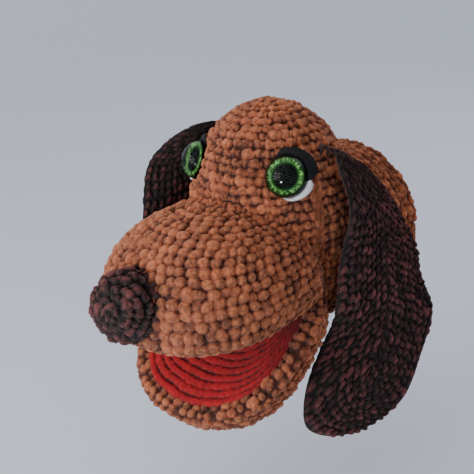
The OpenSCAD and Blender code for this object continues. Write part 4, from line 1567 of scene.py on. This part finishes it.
@dataclass
class Eye:
    """A safety eye with its felt: dome, iris, and the white and black crescents; sizes in mm."""

    plan: Plan
    side: float
    name: str
    diameter: float = 20.0
    flange: float = 1.6
    iris_thick: float = 0.8
    dome_height: float = 7.5
    boss: float = 4.6
    pupil: float = 5.4
    tilt: float = 22.0
    out: float = 27.0

    def __post_init__(self) -> None:
        """Finds the eye's place and frame: local Z looks out, X is down the face and Y is outward."""
        low, high = low_mm(f"{self.name}_eye_iris"), high_mm(f"{self.name}_eye_iris")
        t, o = math.radians(self.tilt), math.radians(self.out)
        z = np.array([self.side * math.sin(o) * math.cos(t), -math.cos(o) * math.cos(t), math.sin(t)])
        x = np.array([self.side * math.sin(o) * math.sin(t), -math.cos(o) * math.sin(t), -math.cos(t)])
        self.axes = np.stack([x, np.cross(z, x), z])
        self.centre = (low + high) / 2 - z * (self.flange + self.iris_thick / 2)

    def inward(self, points: Array) -> Array:
        """Points of the row frame in the eye's own frame."""
        return (points - self.centre) @ self.axes.T

    def outward(self, local: Array) -> Array:
        """Points of the eye's own frame in the row frame."""
        return local @ self.axes + self.centre

    def lathe(self, profile: Array, count: int = 128) -> Skin:
        """Turns a closed profile of radius and height round the eye's axis."""
        turn = np.linspace(0, 2 * np.pi, count, endpoint=False)
        r, h = profile[:, 0][:, None], profile[:, 1][:, None]
        grid = stacked(r * np.cos(turn), r * np.sin(turn), h)
        skin = Skin.empty()
        index = skin.add_points(self.outward(grid), 1.0, 0.5, (0.0, 1.0))
        skin.add_grid(index, True)
        for end in (0, -1):
            skin.add_cap(index[end], self.outward(np.array([[0.0, 0.0, profile[end, 1]]]))[0])
        return skin

    def dome(self, wardrobe: Wardrobe) -> None:
        """Builds the clear dome, with a small round at its rim."""
        base = self.flange + 0.25
        half, tall = self.diameter / 2, self.dome_height
        sphere = (half ** 2 + tall ** 2) / (2 * tall)
        low = math.asin((half - 0.25) / sphere)
        arc = np.linspace(low, 0.02, 40)
        rim = [[half - 0.5, base], [half - 0.15, base + 0.05], [half - 0.02, base + 0.25]]
        top = self.flange + self.iris_thick + tall
        cap = np.stack([sphere * np.sin(arc), top - sphere + sphere * np.cos(arc)], -1)
        skin = self.lathe(np.vstack([rim, cap[cap[:, 1] > base + 0.6]]))
        wardrobe.make(skin, f"{self.name}_eye_lens", "clear_plastic", "head", f"{self.name}_eye_dome")

    def iris(self, wardrobe: Wardrobe) -> None:
        """Builds the iris ring with its printed streaks."""
        rings, spokes = 30, 720
        radius = np.linspace(self.boss, self.diameter / 2 - 0.45, rings)[:, None]
        turn = np.linspace(0, 2 * np.pi, spokes, endpoint=False)[None]
        height = self.flange + self.iris_thick - 0.25 * ((radius - self.boss) / self.boss)
        grid = stacked(radius * np.cos(turn), radius * np.sin(turn), height)
        share = (radius - self.pupil) / (self.diameter / 2 - self.pupil)
        circle = stacked(np.cos(turn), np.sin(turn), 0.12 * share)
        streak = 0.5 + 0.45 * noise(circle * 17.0, 1.0, 5) + 0.45 * noise(circle * 41.0, 1.0, 6)
        streak = smooth((streak - 0.32) / 0.5) * smooth((share - 0.02 - 0.1 * streak) / 0.12)
        body = streak * (0.25 + 0.75 * smooth((0.75 - share) / 0.5))
        ring = smooth((share + 0.04) / 0.05) * smooth((0.66 - share + 0.06 * streak) / 0.34)
        skin = Skin.empty()
        top = skin.add_points(self.outward(grid), ring, body, (0.0, 0.9))
        skin.add_grid(top, True)
        under = grid[[0, -1]]
        under[..., 2] = self.flange + 0.01
        low = skin.add_points(self.outward(under), 0.0, 0.0, (0.92, 1.0))
        for a, b in ((low[0], top[0]), (top[-1], low[1]), (low[1], low[0])):
            skin.add_grid(np.stack([a, b]), True)
        wardrobe.make(skin, f"{self.name}_eye_print", "green_glitter", "head", f"{self.name}_eye_iris")

    def seat_height(self, local: Array, skull: Skull) -> Array:
        """Height of the head's fabric in the eye's frame at some places round the eye."""
        step = local.copy()
        for _ in range(14):
            share = self.plan.skull_share(self.outward(step))
            step[..., 2] -= (share - 1.0) * 34.0
        radius = np.hypot(local[..., 0], local[..., 1])
        near = 1.0 - smooth((radius - skull.eye_seat) / skull.eye_ease)
        return step[..., 2] + (skull.eye_level - step[..., 2]) * near

    def felt(self, skull: Skull, cut: FeltCut) -> tuple[Skin, float]:
        """A felt shape whose inner edge is held under the eye.

        Args:
            skull: gives the fabric that the felt lies on.
            cut: the shape.

        Returns:
            Its mesh and its flat area in square metres.
        """
        share = np.linspace(0, 1, 180)
        turn = np.radians(cut.start + (cut.end - cut.start) * share)
        toward = cut.shift[0] * np.cos(turn) + cut.shift[1] * np.sin(turn)
        reach = toward + np.sqrt(cut.radius ** 2 - np.dot(cut.shift, cut.shift) + toward ** 2)
        ends = np.clip(np.minimum(share, 1 - share) / 0.16, 0.0, 1.0) ** 0.6
        width = np.maximum((reach - self.diameter / 2) * ends, 0.15)
        width = width + cut.lash * (np.abs(np.mod(share * 13.0, 1.0) - 0.5) * 2 - 0.5) * ends
        outer = self.diameter / 2 + width
        across = np.linspace(0, 1, 20)[:, None]
        radius = cut.inner + across * (outer - cut.inner)[None]
        flat = stacked(radius * np.cos(turn), self.side * radius * np.sin(turn), 0 * radius)
        free = smooth((radius - self.diameter / 2 + 0.4) / 1.6)
        base = self.seat_height(flat, skull) + cut.lift * free - 0.5 * (1 - free)
        base = base + 0.15 * noise(flat, 2.0, 9) + 0.10 * noise(flat, 0.8, 10)
        bevel = 0.5 * np.sqrt(np.clip(1 - (2 * across - 1) ** 10, 0.1, 1))
        top, low = flat.copy(), flat.copy()
        top[..., 2], low[..., 2] = base + cut.cloth * (0.5 + bevel), base + cut.cloth * (0.5 - bevel)
        skin = Skin.empty()
        skin.add_slab(self.outward(top), self.outward(low), ((0.0, 0.45), (0.55, 1.0)))
        area = float((outer ** 2 - cut.inner ** 2).mean() / 2 * abs(turn[-1] - turn[0])) * MM * MM
        return skin, area

    def felts(self, wardrobe: Wardrobe, skull: Skull) -> None:
        """Builds the white felt low outside and the black lid high over the eye."""
        for cut, slot, node_name in ((WHITE, "white_felt", "eye_white"), (LID, "black_felt", "eyelid")):
            skin, area = self.felt(skull, cut)
            piece = wardrobe.make(skin, f"{self.name}_{cut.name}", slot, "head", f"{self.name}_{node_name}")

    def build(self, wardrobe: Wardrobe, skull: Skull) -> None:
        """Builds and dresses the whole eye."""
        self.dome(wardrobe)
        self.iris(wardrobe)
        self.felts(wardrobe, skull)
        wardrobe.dress_cad(f"{self.name}_eye_stem", "black_plastic")
        wardrobe.dress_cad(f"{self.name}_eye_washer", "washer_plastic")


@dataclass
class SewnSeam:
    """Short stitches of sewing yarn that lie across a crease; sizes in mm."""

    name: str
    slot: str
    body: str
    replaced: str
    length: float = 5.0
    radius: float = 0.95
    pitch: float = 5.2
    seed: int = 3

    def build(self, wardrobe: Wardrobe, line: Array, across: Array, out: Array) -> bpy.types.Object:
        """Builds and dresses the stitches.

        Args:
            wardrobe: gives the finish.
            line: points along the crease.
            across: unit vectors across it.
            out: unit vectors out of the fabric.

        Returns:
            One piece that holds all the stitches.
        """
        total = np.linalg.norm(np.diff(line, axis=0), axis=1).sum()
        count = max(2, round(total / self.pitch))
        both = even_curve(np.concatenate([line, across, out], axis=1), count, False)
        skin = Skin.empty()
        turn = np.linspace(0, 2 * np.pi, 10, endpoint=False)
        for k, row in enumerate(both):
            middle, side, up = row[:3], row[3:6], row[6:9]
            side, up = side / np.linalg.norm(side), up / np.linalg.norm(up)
            along = np.cross(side, up)
            lean = 0.5 * (hashed(np.array(float(k)), np.array(float(self.seed)), 2.0) - 0.5)
            side = side + along * lean
            t = np.linspace(-1, 1, 13)
            reach = self.length / 2 * t
            height = 1.1 * (1 - t ** 2) - 0.9 * t ** 4
            size = self.radius * np.sqrt(np.clip(1.02 - t ** 4, 0.02, 1))
            core = middle + reach[:, None] * side + height[:, None] * up
            spoke = np.cos(turn)[:, None] * along + np.sin(turn)[:, None] * up
            grid = core[:, None] + size[:, None, None] * spoke[None]
            # Each stitch takes a crease value of 0.75, so it shows body colour partly mixed with the painted top
            # light.
            index = skin.add_points(grid, 0.75, hashed(np.array(float(k)), np.array(1.0), 4.0), (0.0, 1.0))
            skin.add_grid(index, True)
            skin.add_cap(index[0], core[0])
            skin.add_cap(index[-1], core[-1])
        return wardrobe.make(skin, self.name, self.slot, self.body, self.replaced)


def crease_frame(line: Array, inside: Array) -> tuple[Array, Array]:
    """Unit vectors across a line and out of the fabric, from a point inside the form."""
    tangent = np.gradient(line, axis=0)
    out = line - inside
    across = np.cross(tangent, out)
    across /= np.linalg.norm(across, axis=1, keepdims=True)
    out = np.cross(across, tangent)
    return across, out / np.linalg.norm(out, axis=1, keepdims=True)


@dataclass
class Filling:
    """The loose fibre fill inside the skull, muzzle and nose; sizes in mm."""

    voxel: float = 3.0
    shrink: float = 0.8
    lump: float = 1.0

    def lump_piece(self, node_name: str, name: str, wardrobe: Wardrobe) -> None:
        """Builds one cushion of fill from its CAD solid: remeshed, pulled in and lumped."""
        piece = bpy.data.objects.new(name, frame["nodes"][node_name].data.copy())
        bpy.context.scene.collection.objects.link(piece)
        piece.data.materials.clear()
        remesh = piece.modifiers.new("even", "REMESH")
        remesh.mode = "VOXEL"
        remesh.voxel_size = self.voxel * MM
        ease = piece.modifiers.new("ease", "SMOOTH")
        ease.iterations = 3
        shown = piece.evaluated_get(bpy.context.evaluated_depsgraph_get())
        mesh = bpy.data.meshes.new_from_object(shown)
        piece.modifiers.clear()
        piece.data = mesh
        points = np.empty(len(mesh.vertices) * 3, np.float32)
        normals = np.empty_like(points)
        mesh.vertices.foreach_get("co", points)
        mesh.vertices.foreach_get("normal", normals)
        points, normals = points.reshape(-1, 3), normals.reshape(-1, 3)
        sunk = self.shrink + self.lump * (0.5 + 0.5 * noise(points.astype(float) / MM, 7.0, 3))
        points = points - normals * (sunk * MM)[:, None]
        mesh.vertices.foreach_set("co", points.astype(np.float32).reshape(-1))
        mesh.shade_smooth()
        wardrobe.dress(piece, "fibre_fill", "head", node_name)

    def build(self, wardrobe: Wardrobe) -> None:
        """Builds the three cushions of fill."""
        for node_name in ("skull_stuffing", "muzzle_stuffing", "nose_stuffing"):
            self.lump_piece(node_name, node_name.replace("stuffing", "fill"), wardrobe)


@dataclass
class HandPocket:
    """The sewn cloth lining over the fingers, a vault from the palm to the fingertips.

    Sizes are in mm, but flat is in metres and most_area in square metres.
    """

    plan: Plan
    start_y: float = -44.0
    palm: float = 38.0
    finger_half: float = 33.0
    finger_high: float = 20.0
    tip: float = 60.0
    cloth: float = 1.0
    over_lip: float = 6.5
    flat: tuple[float, float] = (0.12, 0.13)
    most_area: float = 0.0155
    rows: int = 90
    columns: int = 110

    def grid(self) -> Array:
        """The vault's surface: arches from the palm forward to the fingertips."""
        front = self.plan.hinge[1] - self.tip
        y = self.start_y + (front - self.start_y) * np.sin(np.linspace(0, np.pi / 2, self.rows))
        ease = smooth((self.start_y - y) / (self.start_y - self.plan.hinge[1]))
        beyond = np.clip((y - (front + self.finger_half)) / -self.finger_half, 0, 0.999)
        close = np.sqrt(np.clip(1 - beyond ** 2, 0, 1))
        half = (self.palm + (self.finger_half - self.palm) * ease) * close
        slope = math.sin(math.radians(self.plan.lip_pitch))
        floor = self.plan.hinge[2] + (y - self.plan.hinge[1]) * slope + self.over_lip
        top = self.palm + (self.plan.hinge[2] + self.finger_high - self.palm) * ease
        high = np.maximum(top - floor, 3.0) * np.maximum(close, 0.05)
        arch = np.linspace(0.0, np.pi, self.columns)[None]
        x = half[:, None] * np.cos(arch)
        z = floor[:, None] + high[:, None] * np.sin(arch) ** 0.8
        grid = np.stack([x, np.broadcast_to(y[:, None], x.shape), z], -1)
        wave = 0.5 * noise(grid * np.array([1.0, 0.35, 1.0]), 6.0, 4)
        return grid + grid_normals(grid, False) * wave[..., None]

    def build(self, wardrobe: Wardrobe) -> None:
        """Builds and dresses the lining."""
        grid = self.grid()
        normal = grid_normals(grid, False)
        skin = Skin.empty()
        half = self.cloth / 2 * normal
        skin.add_slab(grid + half, grid - half, ((0.0, 0.49), (0.51, 1.0)))
        piece = wardrobe.make(skin, "pocket_cloth", "lining_cloth", "head", "pocket_lining")


def ear_seam(plan: Plan, ear: Ear) -> tuple[Array, Array, Array]:
    """The line where an ear is sewn to the skull, with unit vectors across it and out of the skull."""
    root, dip = joint_place(f"{ear.name}_root"), math.radians(ear.hang.dip)
    y = np.linspace(4.5 - ear.root_width / 2, 9.0, 60)
    line = np.stack([0 * y, root[1] + y * math.cos(dip), root[2] - y * math.sin(dip) + 2.6], -1)
    local = (line - plan.skull_middle) / plan.skull_half
    rest = np.clip(1 - local[:, 1] ** 2 - local[:, 2] ** 2, 0.0, 1.0)
    line[:, 0] = ear.side * (plan.skull_half[0] * np.sqrt(rest) + 0.9)
    return (line, *crease_frame(line, plan.skull_middle))


def nose_seam(muzzle: Muzzle) -> tuple[Array, Array, Array]:
    """The line where the nose is sewn to the muzzle, with unit vectors across it and out of the nose."""
    low, high = low_mm("nose"), high_mm("nose")
    radius = (high[0] - low[0]) / 2
    centre = np.array([0.0, low[1] + radius, high[2] - radius])
    turn = np.radians(np.linspace(-8.0, 188.0, 240))
    near, far = np.zeros_like(turn), np.full_like(turn, np.pi)
    for _ in range(30):
        middle = (near + far) / 2
        line = centre + radius * np.stack([np.sin(middle) * np.cos(turn), -np.cos(middle),
                                           np.sin(middle) * np.sin(turn)], -1)
        outside = muzzle.dome.share(muzzle.plan.out_of_lip(line, muzzle.plan.lip_pitch)) > 1.0
        near, far = np.where(outside, middle, near), np.where(outside, far, middle)
    return (line, *crease_frame(line, centre))


# ---------------------------------------------------------------- studio
@dataclass
class Studio:
    """Camera, floor and soft light; sizes in metres and angles in degrees."""

    azimuth: float = 44.3
    elevation: float = 20.9
    roll: float = -3.6
    distance: float = 0.375
    target: tuple[float, float, float] = (-0.006, -0.095, 0.0125)
    lens: float = 54.7
    floor_gap: float = 0.06
    floor_half: float = 12.0
    dim: tuple = (0.24, 0.26, 0.32, 1.0)
    bright: tuple = (1.20, 1.26, 1.38, 1.0)

    def camera(self) -> None:
        """Places the camera."""
        a, e, r = (math.radians(v) for v in (self.azimuth, self.elevation, self.roll))
        back = Vector((math.sin(a) * math.cos(e), -math.cos(a) * math.cos(e), math.sin(e)))
        right = Vector((math.cos(a), math.sin(a), 0.0))
        up = back.cross(right)
        right, up = right * math.cos(r) + up * math.sin(r), up * math.cos(r) - right * math.sin(r)
        data = bpy.data.cameras.new("camera")
        data.lens = self.lens
        data.sensor_width = 36.0
        data.clip_start = 0.01
        camera = bpy.data.objects.new("camera", data)
        bpy.context.scene.collection.objects.link(camera)
        place = Vector(self.target) + back * self.distance
        rows = [(right[k], up[k], back[k], place[k]) for k in range(3)]
        camera.matrix_world = Matrix(rows + [(0, 0, 0, 1)])
        bpy.context.scene.camera = camera

    def light(self, name: str, place: tuple, aim: tuple, size: float, power: float,
              colour: tuple) -> bpy.types.Object:
        """Adds one soft square light, which looks from a place to an aim, and returns it."""
        data = bpy.data.lights.new(name, "AREA")
        data.energy, data.size, data.color = power, size, colour
        lamp = bpy.data.objects.new(name, data)
        bpy.context.scene.collection.objects.link(lamp)
        lamp.location = place
        lamp.rotation_euler = (Vector(aim) - Vector(place)).to_track_quat("-Z", "Y").to_euler()
        return lamp

    def build(self) -> None:
        """Builds the whole studio."""
        self.camera()
        world = bpy.data.worlds.new("soft room")
        world.use_nodes = True
        tree = world.node_tree
        where = node(tree, "ShaderNodeTexCoord")
        toward = node(tree, "ShaderNodeVectorMath", operation="DOT_PRODUCT")
        toward.inputs[1].default_value = (-0.72, -0.69, 0.0)
        span = node(tree, "ShaderNodeMapRange", From_Min=-0.5, From_Max=0.35)
        sky = node(tree, "ShaderNodeMix", data_type="RGBA")
        sky.inputs["A"].default_value, sky.inputs["B"].default_value = self.dim, self.bright
        links(tree, [(where.outputs["Generated"], toward.inputs[0]),
                     (toward.outputs["Value"], span.inputs["Value"]),
                     (span.outputs["Result"], sky.inputs["Factor"]),
                     (sky.outputs["Result"], tree.nodes["Background"].inputs["Color"])])
        bpy.context.scene.world = world
        middle = self.target
        self.light("key", (-0.25, -0.95, 0.30), middle, 0.6, 5.0, (1.0, 0.97, 0.93))
        self.light("fill", (0.95, -0.35, 0.35), middle, 0.9, 1.0, (0.93, 0.96, 1.0))
        self.light("back", (0.1, 0.9, 0.8), middle, 0.8, 2.0, (0.95, 0.97, 1.0))
        for name, place, size, power in (("glint", (0.078, -0.443, -0.010), 0.05, 1.6),
                                         ("small glint", (0.125, -0.443, 0.012), 0.03, 0.6)):
            self.light(name, place, (0.03, -0.1, 0.05), size, power, (1.0, 1.0, 1.0)).visible_diffuse = False
        size = self.floor_half
        mesh = bpy.data.meshes.new("floor")
        low = min(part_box(name)[0][2] for name in frame["nodes"]) - self.floor_gap
        mesh.from_pydata([(-size, -size, low), (size, -size, low), (size, size, low), (-size, size, low)], [],
                         [(0, 1, 2, 3)])
        floor = bpy.data.objects.new("floor", mesh)
        bpy.context.scene.collection.objects.link(floor)
        material = bpy.data.materials.new("pale floor")
        material.use_nodes = True
        shader = material.node_tree.nodes["Principled BSDF"]
        shader.inputs["Base Color"].default_value = (0.66, 0.68, 0.74, 1.0)
        shader.inputs["Roughness"].default_value = 0.9
        mesh.materials.append(material)


class Sound(Enum):
    """How much the build reports."""

    QUIET = logging.WARNING
    PLAIN = logging.INFO


def main() -> None:
    """Builds the puppet, piece by piece."""
    logging.basicConfig(level=Sound.PLAIN.value, format="%(name)s: %(message)s")
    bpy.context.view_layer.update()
    Studio().build()
    wardrobe = Wardrobe()
    plan = Plan.read()
    ahead, half, length = plan.widest_ahead, plan.mouth_half, plan.mouth_length
    upper = Outline(half, length - ahead, ahead + 8.0, ahead)
    lower = Outline(half, length - ahead, ahead + 4.0, ahead)
    muzzle = Muzzle(plan, Dome(upper, height=47.0, power=2.35, up=1.0))
    jaw = Jaw(plan, Dome(lower, height=38.0, power=2.2, up=-1.0))
    eyes = [Eye(plan, 1.0, "left"), Eye(plan, -1.0, "right")]
    near = Hang(dip=24, turn_root=-12, turn_tip=18, flare=7.94, rise=0, back=20, tuck=24)
    far = Hang(dip=8, turn_root=-12, turn_tip=-14, flare=19.76, rise=6, back=-12, tuck=-4)
    ears = [Ear(1.0, near, "left_ear", 101), Ear(-1.0, far, "right_ear", 131)]
    lips = [Lip(plan, upper, 1.0, "upper_lip_roll", "head", "upper_lip_edging"),
            Lip(plan, lower, -1.0, "jaw_roll", "jaw", "jaw_edging", wide=4.6)]
    skull = Skull(plan, muzzle.dome)
    sleeve = Sleeve(plan, muzzle.dome)
    steps = [
        ("skull", lambda: skull.build(wardrobe, eyes)), ("muzzle", lambda: muzzle.build(wardrobe)),
        ("jaw", lambda: jaw.build(wardrobe)),
        ("lining", lambda: MouthLining(plan, upper, lower).build(wardrobe)),
        ("lips", lambda: [lip.build(wardrobe) for lip in lips]),
        ("mouth corners", lambda: MouthCorners(plan, *lips).build(wardrobe)),
        ("nose", lambda: Nose().build(wardrobe)), ("sleeve", lambda: sleeve.build(wardrobe)),
        ("cuff", lambda: Cuff().build(wardrobe)),
        ("throat", lambda: Throat(plan, sleeve, jaw).build(wardrobe)),
        ("ears", lambda: [ear.build(wardrobe) for ear in ears]),
        ("eyes", lambda: [eye.build(wardrobe, skull) for eye in eyes]),
        ("filling", lambda: Filling().build(wardrobe)), ("pocket", lambda: HandPocket(plan).build(wardrobe)),
    ]
    for name, step in steps:
        step()
        LOG.info("%s built", name)
    line = muzzle.crease()
    SewnSeam("muzzle_stitches", "seam_yarn_light", "head", "muzzle_seam").build(
        wardrobe, line, *crease_frame(line, plan.skull_middle))
    SewnSeam("nose_stitches", "seam_yarn_dark", "head", "nose_seam", 4.2, 0.85, 4.6).build(
        wardrobe, *nose_seam(muzzle))
    for ear in ears:
        SewnSeam(f"{ear.name}_stitches", "seam_yarn_dark", "head", f"{ear.name}_seam", 5.5, 1.0, 3.6).build(
            wardrobe, *ear_seam(plan, ear))


if __name__ == "__main__":
    main()
